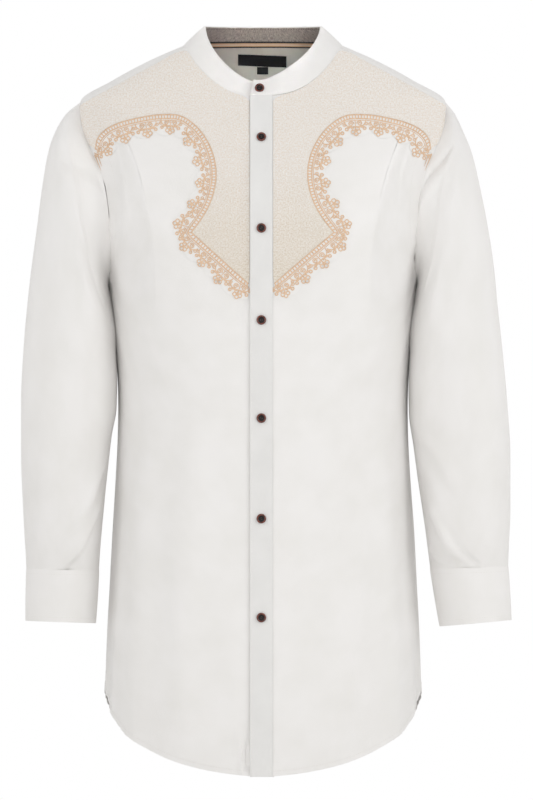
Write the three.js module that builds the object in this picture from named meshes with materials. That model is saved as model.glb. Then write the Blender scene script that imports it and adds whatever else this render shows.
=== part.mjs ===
// Koko shirt, a long band-collar shirt, in its worn form with no wearer. Millimetres, +Z up.
// The front faces -Y and the wearer's left is +X. The origin is in the middle of the neck,
// at the height where the shoulders carry the shirt.
import * as THREE from "three";

// Cloth and seams
const clothWall = 1.5;
const overlayWall = 1.0;
const borderWall = 1.4;
const seamGap = 0.3;
const innerEase = 1.0;       // more room on a seam's inner side, where two walls meet at an angle
const layerGap = 0.3;
const overlayGap = 1.3;
const seatGap = 0.45;

// Front opening: the wearer's left front laps over the right one
const placket = { freeEdge: -16, stitchedEdge: 12, underEdge: 14, columns: 3, standDrop: 3 };
const lapLift = clothWall + layerGap;
const lapFade = { start: 14, end: 70 };

// Body sections from the neck down: half-width, depth before and behind, and the middle's Y
const bodyRows = [
  { z: 16, half: 78, front: 38, back: 52, midY: 8 },
  { z: 5, half: 100, front: 47, back: 61, midY: 8 },
  { z: 0, half: 112, front: 50, back: 66, midY: 8 },
  { z: -12, half: 139, front: 55, back: 76, midY: 8 },
  { z: -37, half: 186, front: 64, back: 90, midY: 8 },
  { z: -65, half: 228, front: 77, back: 101, midY: 8 },
  { z: -95, half: 229, front: 92, back: 112, midY: 7 },
  { z: -150, half: 219, front: 112, back: 122, midY: 4 },
  { z: -220, half: 205, front: 127, back: 127, midY: 1 },
  { z: -290, half: 191, front: 132, back: 128, midY: 0 },
  { z: -350, half: 186, front: 133, back: 126, midY: 0 },
  { z: -450, half: 181, front: 130, back: 124, midY: 0 },
  { z: -600, half: 188, front: 133, back: 130, midY: 0 },
  { z: -750, half: 196, front: 138, back: 136, midY: 0 },
  { z: -906, half: 201, front: 142, back: 141, midY: 0 },
];
const sectionPower = 2.5;
const depthPower = 2.2;

// Soft vertical folds. turn: 0 centre front, 1 wearer's left side, 2 centre back, 3 right side
const bodyFolds = [
  { topTurn: 0.3, topZ: -330, endTurn: 0.33, endZ: -960, width: 24, depth: 3.2 },
  { topTurn: 0.6, topZ: -420, endTurn: 0.64, endZ: -980, width: 22, depth: 4.0 },
  { topTurn: 0.84, topZ: -480, endTurn: 0.9, endZ: -960, width: 20, depth: -3.4 },
  { topTurn: 1.25, topZ: -300, endTurn: 1.3, endZ: -990, width: 26, depth: 4.5 },
  { topTurn: 1.62, topZ: -200, endTurn: 1.58, endZ: -990, width: 28, depth: 5.0 },
  { topTurn: 1.92, topZ: -260, endTurn: 1.96, endZ: -960, width: 26, depth: -3.6 },
  { topTurn: 2.3, topZ: -210, endTurn: 2.36, endZ: -990, width: 28, depth: 4.6 },
  { topTurn: 2.72, topZ: -320, endTurn: 2.7, endZ: -980, width: 24, depth: 4.2 },
  { topTurn: 3.14, topZ: -470, endTurn: 3.1, endZ: -960, width: 20, depth: -3.2 },
  { topTurn: 3.42, topZ: -400, endTurn: 3.38, endZ: -980, width: 23, depth: 4.2 },
  { topTurn: 3.7, topZ: -360, endTurn: 3.66, endZ: -960, width: 24, depth: 3.4 },
  { topTurn: 0.52, topZ: -110, endTurn: 0.78, endZ: -330, width: 22, depth: 3.6 },
  { topTurn: 3.48, topZ: -110, endTurn: 3.22, endZ: -330, width: 22, depth: 3.6 },
];
const foldArc = 285;

// Lower edges and seams of the body
const hem = { centreZ: -906, frontRise: 109, backRise: 101, backZ: -900 };
const chestLine = { sideZ: -290, dip: 60 };
const neck = { half: 100, sideZ: 5, frontDrop: 64, backRise: 2, roundness: 2.6, droop: 1.1 };
const armhole = { topZ: -65, bottomZ: -290, frontScoop: 0.082, backScoop: 0.06, topSharpness: 4.6,
  lowSharpness: 2.4 };
const yokeSeam = { neckSwing: 0.86, frontAround: 15, backAround: -38 };

// Collar band, which leans in all round
const collar = { half: 73, frontDepth: 50, backDepth: 38, midY: 6, sideZ: 30, frontDrop: 75, lean: 0.075,
  backRise: -0.5, outerWall: 1.3, liningWall: 1.0, lapLift: 3.3, lapFade: 0.62, peak: 1.3, droop: 0.6,
  ease: 0.19, rows: 2 };
const neckTape = { low: -0.04, high: 0.3, wall: 0.8, start: 1.12, end: 2.88, pieces: 24 };
const label = { width: 61, height: 14, wall: 0.8, midX: -1, midZ: -11, tilt: -0.04, gap: 1.2, pieces: 6 };
const sizeTab = { width: 14, height: 9, wall: 0.8, midX: -0.5, midZ: -23.5, tilt: 0, gap: 0.65, pieces: 2 };

// Sleeve rings from the armhole to the cuff: outer and inner points of each ring, and its depth
const sleeveRows = {
  right: [
    { outX: -228, outZ: -65, inX: -192, inZ: -290, front: 55, back: 48, midY: 2 },
    { outX: -246, outZ: -80, inX: -194, inZ: -298, front: 60, back: 54, midY: 0 },
    { outX: -259, outZ: -101, inX: -192.5, inZ: -310, front: 63, back: 58, midY: -3 },
    { outX: -268, outZ: -126, inX: -189.5, inZ: -326, front: 65, back: 60, midY: -7 },
    { outX: -275, outZ: -166, inX: -186.2, inZ: -344, front: 65, back: 61, midY: -12 },
    { outX: -281, outZ: -212, inX: -184.2, inZ: -365, front: 64, back: 61, midY: -17 },
    { outX: -287, outZ: -260, inX: -182.9, inZ: -388, front: 62, back: 59, midY: -21 },
    { outX: -294, outZ: -315, inX: -182.0, inZ: -415, front: 59, back: 57, midY: -24 },
    { outX: -299, outZ: -375, inX: -182.6, inZ: -447, front: 56, back: 54, midY: -26 },
    { outX: -302, outZ: -440, inX: -189, inZ: -484, front: 53, back: 51, midY: -27 },
    { outX: -302, outZ: -505, inX: -194, inZ: -527, front: 50, back: 48, midY: -28 },
    { outX: -300, outZ: -565, inX: -199, inZ: -577, front: 47, back: 46, midY: -29 },
    { outX: -297, outZ: -618, inX: -203, inZ: -622, front: 44, back: 44, midY: -30 },
    { outX: -295, outZ: -648, inX: -205, inZ: -650, front: 38, back: 38, midY: -30 },
  ],
  left: [
    { outX: 228, outZ: -65, inX: 190, inZ: -290, front: 55, back: 48, midY: 2 },
    { outX: 240, outZ: -80, inX: 192.5, inZ: -298, front: 60, back: 54, midY: 0 },
    { outX: 250, outZ: -101, inX: 191.8, inZ: -310, front: 63, back: 58, midY: -3 },
    { outX: 260, outZ: -126, inX: 189, inZ: -326, front: 65, back: 60, midY: -7 },
    { outX: 270, outZ: -166, inX: 185.9, inZ: -344, front: 65, back: 61, midY: -12 },
    { outX: 279, outZ: -212, inX: 183.9, inZ: -368, front: 64, back: 61, midY: -17 },
    { outX: 286.5, outZ: -260, inX: 182.5, inZ: -393, front: 62, back: 59, midY: -21 },
    { outX: 292.5, outZ: -315, inX: 181.6, inZ: -422, front: 59, back: 57, midY: -24 },
    { outX: 299, outZ: -375, inX: 182.4, inZ: -455, front: 56, back: 54, midY: -26 },
    { outX: 305, outZ: -440, inX: 187.5, inZ: -492, front: 53, back: 51, midY: -27 },
    { outX: 309, outZ: -505, inX: 193.5, inZ: -538, front: 50, back: 48, midY: -28 },
    { outX: 309, outZ: -568, inX: 201, inZ: -588, front: 47, back: 46, midY: -29 },
    { outX: 307, outZ: -618, inX: 206, inZ: -626, front: 44, back: 44, midY: -30 },
    { outX: 306, outZ: -645, inX: 209, inZ: -648, front: 38, back: 38, midY: -30 },
  ],
};
// Sleeve creases, as ridges along slanted lines. around: 0 outer, 90 front, 180 inner, 270 back
const sleeveArc = 0.95;      // millimetres of cloth in a degree
const sleeveFolds = [
  { topAround: 60, topRing: 1.5, endAround: 120, endRing: 5.5, width: 20, depth: 3.5 },
  { topAround: 125, topRing: 3, endAround: 70, endRing: 8, width: 24, depth: 3.0 },
  { topAround: 100, topRing: 7, endAround: 150, endRing: 11, width: 22, depth: -3.0 },
  { topAround: 150, topRing: 9, endAround: 110, endRing: 13, width: 14, depth: 3.2 },
  { topAround: 240, topRing: 3, endAround: 290, endRing: 8, width: 24, depth: 3.4 },
  { topAround: 290, topRing: 8, endAround: 230, endRing: 12.5, width: 20, depth: -3.2 },
];
const cuffs = {
  right: { outX: -296, outZ: -713, inX: -209, inZ: -716, depth: 36, midY: -31 },
  left: { outX: 310, outZ: -712, inX: 221, inZ: -720, depth: 36, midY: -31 },
};
const cuffRows = 3;
const cuffWall = 2.2;
const cuffLap = { start: 245, length: 22, lift: 2.6, fade: 40 };
const cuffColumns = 28;
const sleevePlacket = { column: 17, halfWidth: 0.7, startRing: 10, endRing: 12.9, topRings: 3 };

// Panel grids
const grid = { lowerRows: 9, upperRows: 8, neckColumns: 7, shoulderColumns: 6,
  backColumns: 20, yokeArmColumns: 5, seamFade: 4 };

// Chest panels and their border. The line where they meet, seen from the front, on the right
// front; its mirror image is used on the left front.
const borderLine = [
  { x: -209, z: -124 }, { x: -207, z: -112 }, { x: -198, z: -101 }, { x: -182, z: -92.5 },
  { x: -158, z: -86 }, { x: -129, z: -81.5 }, { x: -103, z: -83 }, { x: -84, z: -95 },
  { x: -68, z: -116 }, { x: -59, z: -141 }, { x: -58, z: -166 }, { x: -65, z: -193 },
  { x: -76, z: -213 }, { x: -88, z: -229 }, { x: -69, z: -246 }, { x: -46, z: -267 },
  { x: -18, z: -292 },
];
const borderCorner = 13;
const chestPanel = { lineSteps: 2, rows: 6, edgeInset: 2.6, placketGap: 0.8,
  armArounds: [58, 48, 38, 27, 17],
  yokeShares: [0.85, 0.7, 0.55, 0.4, 0.25, 0.12],
  neckSwings: [0.74, 0.62, 0.47, 0.3],
  placketHeights: [-66, -100, -135, -170, -205, -240, -270, -284] };
const border = { width: 23, scallop: 8, flowers: 13, stepsAFlower: 5, rows: 2, gap: 0.8 };

// Buttons with a raised rim and a dished middle
const button = { radius: 6, thickness: 2.6, rim: 0.5, dish: 0.8, bevel: 0.6, rimWidth: 2, sides: 16,
  gap: 0.6 };
const buttonHeights = [-111, -224, -338, -460, -585, -708];
const collarButton = { swing: 0, rise: 0.42 };

// Tables and vectors

function secant(table, key, name, i) {
  return (table[i + 1][name] - table[i][name]) / (table[i + 1][key] - table[i][key]);
}

function slopeAt(table, key, name, i) {
  const last = table.length - 1;
  if (i === 0) return secant(table, key, name, 0);
  if (i === last) return secant(table, key, name, last - 1);
  const before = secant(table, key, name, i - 1);
  const after = secant(table, key, name, i);
  return before * after > 0 ? (2 * before * after) / (before + after) : 0;
}

// Smooth value of one named column of a table, at a place along its key column
function along(table, key, name, at) {
  const last = table.length - 1;
  const rising = table[last][key] > table[0][key];
  let i = 0;
  while (i < last - 1 && (rising ? at > table[i + 1][key] : at < table[i + 1][key])) i += 1;
  const span = table[i + 1][key] - table[i][key];
  const u = Math.min(1, Math.max(0, (at - table[i][key]) / span));
  const low = slopeAt(table, key, name, i) * span;
  const high = slopeAt(table, key, name, i + 1) * span;
  const u2 = u * u;
  const u3 = u2 * u;
  return table[i][name] * (2 * u3 - 3 * u2 + 1) + low * (u3 - 2 * u2 + u)
    + table[i + 1][name] * (3 * u2 - 2 * u3) + high * (u3 - u2);
}

function mix(a, b, share) {
  return a + (b - a) * share;
}

function smooth(from, to, at) {
  const u = Math.min(1, Math.max(0, (at - from) / (to - from)));
  return u * u * (3 - 2 * u);
}

function radians(degrees) {
  return (degrees * Math.PI) / 180;
}

// Height of a soft ridge or trough at a place s off its line, f of the way along it
function ridge(s, f, width, depth) {
  if (f <= 0 || f >= 1) return 0;
  const ends = smooth(0, 0.3, f) * smooth(1, 0.75, f);
  return depth * ends * Math.exp(-(s * s) / (width * width));
}

// Body surface

function drape(turn, z) {
  const around = ((turn % 4) + 4) % 4;
  let push = 0;
  for (const fold of bodyFolds) {
    const f = (fold.topZ - z) / (fold.topZ - fold.endZ);
    const s = (around - mix(fold.topTurn, fold.endTurn, f)) * foldArc;
    push += ridge(s, f, fold.width, fold.depth);
  }
  return push;
}

// A point of the body's outer surface. turn counts quarter turns from the centre front
function bodyPoint(turn, z) {
  const angle = (turn * Math.PI) / 2;
  const across = Math.sin(angle);
  const facing = Math.cos(angle) >= 0 ? -1 : 1;
  const depth = along(bodyRows, "z", facing < 0 ? "front" : "back", z);
  const reach = Math.max(0, 1 - Math.abs(across) ** sectionPower) ** (1 / depthPower);
  const push = drape(turn, z);
  const x = across * (along(bodyRows, "z", "half", z) + push);
  const y = along(bodyRows, "z", "midY", z) + facing * reach * (depth + push);
  return new THREE.Vector3(x, y, z);
}

function bodyNormal(turn, z) {
  const across = bodyPoint(turn + 0.006, z).sub(bodyPoint(turn - 0.006, z));
  const up = bodyPoint(turn, z + 0.8).sub(bodyPoint(turn, z - 0.8));
  return across.cross(up).normalize();
}

function bodyAt(place, lift) {
  return bodyPoint(place.turn, place.z).addScaledVector(bodyNormal(place.turn, place.z), lift);
}

// Turn of the point that lies at x, seen from the front
function turnAt(x, z) {
  const share = x / along(bodyRows, "z", "half", z);
  return (Math.asin(Math.min(1, Math.max(-1, share))) * 2) / Math.PI;
}

// Seams, as places {turn, z}

function neckSeam(swing) {
  const across = Math.sin((swing * Math.PI) / 2);
  const open = Math.max(0, 1 - Math.abs(across) ** neck.roundness);
  const behind = Math.cos((swing * Math.PI) / 2) < 0;
  const z = behind ? neck.sideZ + neck.backRise * open
    : neck.sideZ - neck.frontDrop * open ** neck.droop;
  const base = turnAt(neck.half * across, z);
  if (behind) return { turn: 2 - base, z };
  return { turn: swing > 2 ? 4 + base : base, z };
}

function neckSwing(x) {
  return (Math.asin(x / neck.half) * 2) / Math.PI;
}

// around: 0 at the shoulder's tip, 180 at the underarm, negative behind. On the wearer's left
function armholePlace(around) {
  const angle = radians(around);
  const middle = (armhole.topZ + armhole.bottomZ) / 2;
  const z = middle + ((armhole.topZ - armhole.bottomZ) / 2) * Math.cos(angle);
  const scoop = around >= 0 ? armhole.frontScoop : armhole.backScoop;
  const sharpness = Math.cos(angle) > 0 ? armhole.topSharpness : armhole.lowSharpness;
  const inset = scoop * Math.abs(Math.sin(angle)) ** sharpness;
  const base = (Math.asin(1 - inset) * 2) / Math.PI;
  return { turn: around >= 0 ? base : 2 - base, z };
}

function mirrored(place, side, behind) {
  if (side > 0) return place;
  return { turn: behind ? 4 - place.turn : -place.turn, z: place.z };
}

function hemZ(turn, behind) {
  const share = Math.min(1, Math.abs(behind ? turn - 2 : turn));
  const curve = 1.12 * share ** 2 - 0.12 * share ** 8;
  return behind ? hem.backZ + (hem.centreZ + hem.frontRise - hem.backZ) * curve
    : hem.centreZ + hem.frontRise * curve;
}

function chestZ(share) {
  return chestLine.sideZ - chestLine.dip * (1 - share ** 3);
}

// Closed walls

function geometryFrom(points, triangles) {
  const geometry = new THREE.BufferGeometry();
  const numbers = points.flatMap((point) => [point.x, point.y, point.z]);
  geometry.setAttribute("position", new THREE.Float32BufferAttribute(numbers, 3));
  geometry.setIndex(triangles);
  geometry.computeVertexNormals();
  return geometry;
}

// A closed wall between two grids of points, [row][column]. A loop joins its last column to the first
function wallGeometry(outer, inner, loop = false) {
  const rows = outer.length;
  const columns = outer[0].length;
  const points = [...outer.flat(), ...inner.flat()];
  const half = rows * columns;
  const triangles = [];
  const at = (i, j) => i * columns + (j % columns);
  const quad = (a, b, c, d) => triangles.push(a, b, c, a, c, d);
  const lastColumn = loop ? columns : columns - 1;
  for (let i = 0; i < rows - 1; i += 1) {
    for (let j = 0; j < lastColumn; j += 1) {
      quad(at(i, j), at(i, j + 1), at(i + 1, j + 1), at(i + 1, j));
      quad(half + at(i, j), half + at(i + 1, j), half + at(i + 1, j + 1), half + at(i, j + 1));
    }
  }
  for (let j = 0; j < lastColumn; j += 1) {
    const top = rows - 1;
    quad(at(0, j), half + at(0, j), half + at(0, j + 1), at(0, j + 1));
    quad(at(top, j), at(top, j + 1), half + at(top, j + 1), half + at(top, j));
  }
  if (!loop) {
    const end = columns - 1;
    for (let i = 0; i < rows - 1; i += 1) {
      quad(at(i, 0), at(i + 1, 0), half + at(i + 1, 0), half + at(i, 0));
      quad(at(i, end), half + at(i, end), half + at(i + 1, end), at(i + 1, end));
    }
  }
  return geometryFrom(points, outwards(points, triangles));
}

// The triangles with their faces pointing out of the solid
function outwards(points, triangles) {
  let volume = 0;
  for (let k = 0; k < triangles.length; k += 3) {
    const [a, b, c] = [points[triangles[k]], points[triangles[k + 1]], points[triangles[k + 2]]];
    volume += a.dot(new THREE.Vector3().crossVectors(b, c));
  }
  if (volume > 0) return triangles;
  const turned = [];
  for (let k = 0; k < triangles.length; k += 3) {
    turned.push(triangles[k], triangles[k + 2], triangles[k + 1]);
  }
  return turned;
}

// Pulls the edges of a sheet of points back from its seams: chosen rows and columns
function trimmed(sheet, edges, reach = seamGap / 2) {
  const rows = sheet.length - 1;
  const columns = sheet[0].length - 1;
  const copy = sheet.map((row) => row.map((point) => point.clone()));
  const pull = (i, j, towardsI, towardsJ) => {
    const step = sheet[towardsI][towardsJ].clone().sub(sheet[i][j]);
    copy[i][j].addScaledVector(step.normalize(), reach);
  };
  for (let j = 0; j <= columns; j += 1) {
    if (edges.includes("low")) pull(0, j, 1, j);
    if (edges.includes("high")) pull(rows, j, rows - 1, j);
  }
  for (let i = 0; i <= rows; i += 1) {
    if (edges.includes("start")) pull(i, 0, i, 1);
    if (edges.includes("end")) pull(i, columns, i, columns - 1);
  }
  return copy;
}

// A wall whose chosen edges stop just short of the seams they are sewn at
function seamedWall(outer, inner, edges, loop = false) {
  return wallGeometry(trimmed(outer, edges), trimmed(inner, edges, seamGap / 2 + innerEase), loop);
}

// Outer and inner points of a panel that lies on the body, from its grid of places
function bodySheets(places, lift, wall, seamInward) {
  const outer = places.map((row) => row.map((place) => bodyAt(place, lift(place))));
  const inner = places.map((row, i) => row.map((place, j) => {
    const inward = seamInward(i, j);
    if (inward) return outer[i][j].clone().addScaledVector(inward, wall);
    return bodyAt(place, lift(place) - wall);
  }));
  return { outer, inner };
}

// Materials and nodes

const poplinWhite = { color: 0xf3f1ee, roughness: 0.8, metalness: 0 };
const chestCream = { color: 0xeae0d3, roughness: 0.9, metalness: 0 };
const borderPeach = { color: 0xdfb795, roughness: 0.7, metalness: 0 };
const chambrayGrey = { color: 0x8f8580, roughness: 0.9, metalness: 0 };
const tapeCream = { color: 0xe6c5a3, roughness: 0.7, metalness: 0 };
const labelBlack = { color: 0x17171a, roughness: 0.6, metalness: 0 };
const buttonBrown = { color: 0x2a1512, roughness: 0.3, metalness: 0 };

const shirt = new THREE.Group();
shirt.name = "kokoShirt";

function addPiece(name, geometry, finish) {
  const piece = new THREE.Mesh(geometry, new THREE.MeshStandardMaterial(finish));
  piece.name = name;
  shirt.add(piece);
  return piece;
}

function steps(count) {
  return Array.from({ length: count + 1 }, (_, i) => i / count);
}

// Sleeves as surfaces

// Places round the armhole, from the underarm up the front, over the shoulder and down behind
const armholeArounds = [
  ...steps(grid.upperRows).map((s) => mix(180, yokeSeam.frontAround, s)),
  ...steps(grid.yokeArmColumns).slice(1).map((s) => mix(yokeSeam.frontAround, yokeSeam.backAround, s)),
  ...steps(grid.upperRows).slice(1, -1).map((s) => mix(yokeSeam.backAround, -180, s)),
];

function ringPoint(row, around) {
  const angle = radians(around);
  const share = (1 - Math.cos(angle)) / 2;
  const facing = Math.sin(angle);
  const depth = facing > 0 ? row.front : row.back;
  return new THREE.Vector3(mix(row.outX, row.inX, share), row.midY - facing * depth,
    mix(row.outZ, row.inZ, share));
}

function sleeveCrease(around, ring) {
  const turned = (around + 360) % 360;
  let push = 0;
  for (const fold of sleeveFolds) {
    const f = (ring - fold.topRing) / (fold.endRing - fold.topRing);
    const s = (turned - mix(fold.topAround, fold.endAround, f)) * sleeveArc;
    push += ridge(s, f, fold.width, fold.depth);
  }
  return push;
}

// A point of a sleeve's outer surface: ring counts down the table's rows
function sleevePoint(side, around, ring) {
  const rows = side > 0 ? sleeveRows.left : sleeveRows.right;
  const keyed = rows.map((row, i) => ({ ...row, i }));
  const row = {};
  for (const name of ["outX", "outZ", "inX", "inZ", "front", "back", "midY"]) {
    row[name] = along(keyed, "i", name, ring);
  }
  const point = ringPoint(row, around);
  const centre = ringPoint({ ...row, front: 0, back: 0 }, 90);
  const out = point.clone().sub(centre).normalize();
  point.addScaledVector(out, sleeveCrease(around, ring));
  const place = armholePlace(around);
  const seam = bodyAt(mirrored(place, side, around < 0), 0);
  const fade = Math.max(0, 1 - ring / grid.seamFade) ** 2;
  return point.addScaledVector(seam.sub(ringPoint(rows[0], around)), fade);
}

function sleeveNormal(side, around, ring) {
  const last = sleeveRows.right.length - 1;
  const low = Math.max(0, ring - 0.05);
  const high = ring === 0 ? 1 : Math.min(last, ring + 0.05);
  const down = sleevePoint(side, around, high).sub(sleevePoint(side, around, low));
  const across = sleevePoint(side, around + 2, ring).sub(sleevePoint(side, around - 2, ring));
  return across.cross(down).normalize().multiplyScalar(side);
}

// Direction into the garment at the armhole seam, the same for every piece that meets there
function armholeInward(side, around) {
  const place = mirrored(armholePlace(around), side, around < 0);
  const both = bodyNormal(place.turn, place.z).add(sleeveNormal(side, around, 0));
  return both.normalize().negate();
}

// Collar as a surface

function collarTop(swing) {
  const angle = (swing * Math.PI) / 2;
  const across = Math.sin(angle);
  const facing = Math.cos(angle);
  const leant = across + collar.lean * (1 - across * across);
  const dipped = Math.hypot(leant, collar.ease) ** collar.peak;
  const open = Math.max(0, 1 - (facing > 0 ? dipped : across * across));
  const y = collar.midY - facing * (facing > 0 ? collar.frontDepth : collar.backDepth);
  const z = facing > 0 ? collar.sideZ - collar.frontDrop * open ** collar.droop
    : collar.sideZ + collar.backRise * open;
  return new THREE.Vector3(collar.half * across, y, z);
}

function collarNormal(swing) {
  const near = (s) => bodyAt(neckSeam(s), 0);
  const across = near(swing + 0.02).sub(near(swing - 0.02));
  const up = collarTop(swing).sub(near(swing));
  return across.cross(up).normalize();
}

// The collar's lap: its free end stands proud of the other
function collarLift(swing) {
  const s = Math.abs(swing);
  return collar.lapLift * (1 - smooth(0.1, collar.lapFade, s));
}

function neckInward(swing) {
  const place = neckSeam(swing);
  return bodyNormal(place.turn, place.z).add(collarNormal(swing)).normalize().negate();
}

// Front panels

function lapRise(side, x) {
  return side > 0 ? lapLift * (1 - smooth(lapFade.start, lapFade.end, Math.abs(x))) : 0;
}

function frontTop(side, edgeX, column) {
  const { neckColumns, shoulderColumns } = grid;
  const startSwing = side * neckSwing(edgeX);
  if (column <= neckColumns) {
    const place = neckSeam(mix(startSwing, yokeSeam.neckSwing, column / neckColumns));
    return place;
  }
  return yokeFrontPlace((column - neckColumns) / shoulderColumns);
}

// The yoke's forward seam, straight from the neck to the armhole seen from the front
function yokeFrontPlace(share) {
  const from = neckSeam(yokeSeam.neckSwing);
  const to = armholePlace(yokeSeam.frontAround);
  if (share <= 0) return from;
  if (share >= 1) return to;
  const a = bodyPoint(from.turn, from.z);
  const b = bodyPoint(to.turn, to.z);
  const z = mix(a.z, b.z, share);
  return { turn: turnAt(mix(a.x, b.x, share), z), z };
}

// Grid of places of the wearer's left front, from the hem up. Rows share the side seam's heights
function frontPlaces(side, edgeX) {
  const columns = grid.neckColumns + grid.shoulderColumns;
  const edgeTurn = (z) => side * turnAt(edgeX, z);
  const neckEdge = neckSeam(side * neckSwing(edgeX));
  const places = [];
  for (const s of steps(grid.lowerRows)) {
    places.push(steps(columns).map((c) => {
      const z = mix(hemZ(c, false), chestZ(c), s);
      return { turn: mix(edgeTurn(z), 1, c), z };
    }));
  }
  const lowStart = { turn: edgeTurn(chestZ(0)), z: chestZ(0) };
  const lowEnd = { turn: 1, z: chestZ(1) };
  const highStart = frontTop(side, edgeX, 0);
  const highEnd = frontTop(side, edgeX, columns);
  for (const s of steps(grid.upperRows).slice(1)) {
    const end = armholePlace(mix(180, yokeSeam.frontAround, s));
    const startZ = mix(chestZ(0), neckEdge.z, s);
    const start = { turn: edgeTurn(startZ), z: startZ };
    places.push(steps(columns).map((c, j) => {
      const low = { turn: mix(lowStart.turn, 1, c), z: chestZ(c) };
      const high = frontTop(side, edgeX, j);
      const blend = (name) => mix(low[name], high[name], s) + mix(start[name], end[name], c)
        - mix(mix(lowStart[name], lowEnd[name], c), mix(highStart[name], highEnd[name], c), s);
      return { turn: blend("turn"), z: blend("z") };
    }));
  }
  return places;
}

function addFront(side) {
  const edgeX = side > 0 ? placket.freeEdge : placket.underEdge;
  const upper = grid.lowerRows;
  const top = grid.lowerRows + grid.upperRows;
  const columns = grid.neckColumns + grid.shoulderColumns;
  const places = frontPlaces(side, edgeX).map((row) => row.map((p) => mirrored(p, side, false)));
  const startSwing = side * neckSwing(edgeX);
  const inwardAt = (i, j) => {
    if (j === columns && i >= upper) {
      return armholeInward(side, mix(180, yokeSeam.frontAround, (i - upper) / grid.upperRows));
    }
    if (i === top && j <= grid.neckColumns) {
      return neckInward(side * mix(startSwing, yokeSeam.neckSwing, j / grid.neckColumns));
    }
    return null;
  };
  const lift = (place) => lapRise(side, bodyPoint(place.turn, place.z).x);
  const { outer, inner } = bodySheets(places, lift, clothWall, inwardAt);
  const name = side > 0 ? "front_left" : "front_right";
  const edges = ["high", "end"];
  addPiece(name, seamedWall(outer, inner, edges), poplinWhite);
  return places;
}

const leftPlaces = addFront(1);
const rightPlaces = addFront(-1);

// Back and yoke

// The back yoke seam, level across the back, share 0 at the wearer's left armhole
function yokeBackPlace(share) {
  const from = armholePlace(yokeSeam.backAround);
  return { turn: mix(from.turn, 4 - from.turn, share), z: from.z };
}

function addBack() {
  const places = [];
  const { backColumns, lowerRows, upperRows } = grid;
  for (const s of steps(lowerRows)) {
    places.push(steps(backColumns).map((c) => {
      const turn = mix(1, 3, c);
      return { turn, z: mix(hemZ(turn, true), chestZ(Math.abs(2 * c - 1)), s) };
    }));
  }
  for (const s of steps(upperRows).slice(1)) {
    const arm = armholePlace(mix(-180, yokeSeam.backAround, s));
    places.push(steps(backColumns).map((c) => {
      const top = yokeBackPlace(c);
      const z = mix(chestZ(Math.abs(2 * c - 1)), top.z, s) + (arm.z - mix(chestLine.sideZ, top.z, s))
        * Math.abs(2 * c - 1) ** 2;
      const turn = mix(arm.turn, 4 - arm.turn, c);
      return { turn, z };
    }));
  }
  const inwardAt = (i, j) => {
    if (i < lowerRows || (j > 0 && j < backColumns)) return null;
    const around = mix(-180, yokeSeam.backAround, (i - lowerRows) / upperRows);
    return armholeInward(j === 0 ? 1 : -1, around);
  };
  const { outer, inner } = bodySheets(places, () => 0, clothWall, inwardAt);
  const edges = ["high", "start", "end"];
  addPiece("back", seamedWall(outer, inner, edges), poplinWhite);
}

const yokeColumns = grid.yokeArmColumns * 2 + grid.backColumns;

function yokeSwing(column) {
  return mix(yokeSeam.neckSwing, 4 - yokeSeam.neckSwing, column / yokeColumns);
}

function yokeOuterPlace(column) {
  const arm = grid.yokeArmColumns;
  if (column <= arm) {
    return armholePlace(mix(yokeSeam.frontAround, yokeSeam.backAround, column / arm));
  }
  if (column >= yokeColumns - arm) {
    const place = armholePlace(mix(yokeSeam.frontAround, yokeSeam.backAround,
      (yokeColumns - column) / arm));
    return { turn: 4 - place.turn, z: place.z };
  }
  return yokeBackPlace((column - arm) / grid.backColumns);
}

function yokePlaces() {
  const places = [];
  steps(grid.shoulderColumns).forEach((v) => {
    places.push(Array.from({ length: yokeColumns + 1 }, (_, column) => {
      const from = neckSeam(yokeSwing(column));
      const to = yokeOuterPlace(column);
      const place = { turn: mix(from.turn, to.turn, v), z: mix(from.z, to.z, v) };
      for (const end of [0, yokeColumns]) {
        const seam = yokeFrontPlace(v);
        const corner = neckSeam(yokeSwing(end));
        const far = yokeOuterPlace(end);
        const fade = Math.max(0, 1 - Math.abs(column - end) / 4) ** 2;
        const turn = end === 0 ? seam.turn : 4 - seam.turn;
        place.turn += fade * (turn - mix(corner.turn, far.turn, v));
        place.z += fade * (seam.z - mix(corner.z, far.z, v));
      }
      return place;
    }));
  });
  return places;
}

function addYoke() {
  const arm = grid.yokeArmColumns;
  const top = grid.shoulderColumns;
  const inwardAt = (i, j) => {
    if (i === 0) return neckInward(yokeSwing(j));
    if (i < top) return null;
    if (j <= arm) return armholeInward(1, mix(yokeSeam.frontAround, yokeSeam.backAround, j / arm));
    if (j >= yokeColumns - arm) {
      return armholeInward(-1, mix(yokeSeam.frontAround, yokeSeam.backAround, (yokeColumns - j) / arm));
    }
    return null;
  };
  const { outer, inner } = bodySheets(yokePlaces(), () => 0, clothWall, inwardAt);
  const edges = ["low", "high", "start", "end"];
  addPiece("yoke", seamedWall(outer, inner, edges), poplinWhite);
}

addBack();
addYoke();

// Placket and button stand

function addStrip(name, places, fromX, toX, lift, wall, topDrop) {
  const rows = places.map((row, i) => steps(placket.columns).map((c) => {
    const x = mix(fromX, toX, c);
    const z = row[0].z - (i === places.length - 1 ? topDrop : 0);
    return { turn: turnAt(x, z), z };
  }));
  const outer = rows.map((row) => row.map((place) => bodyAt(place, lift)));
  const inner = rows.map((row) => row.map((place) => bodyAt(place, lift - wall)));
  addPiece(name, wallGeometry(trimmed(outer, ["high"]), trimmed(inner, ["high"])), poplinWhite);
}

addStrip("placket", leftPlaces, placket.freeEdge, placket.stitchedEdge,
  lapLift + layerGap + clothWall, clothWall, 0);
addStrip("button_stand", rightPlaces, -placket.underEdge, placket.underEdge,
  -clothWall - layerGap, clothWall, placket.standDrop);

// Collar

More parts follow.
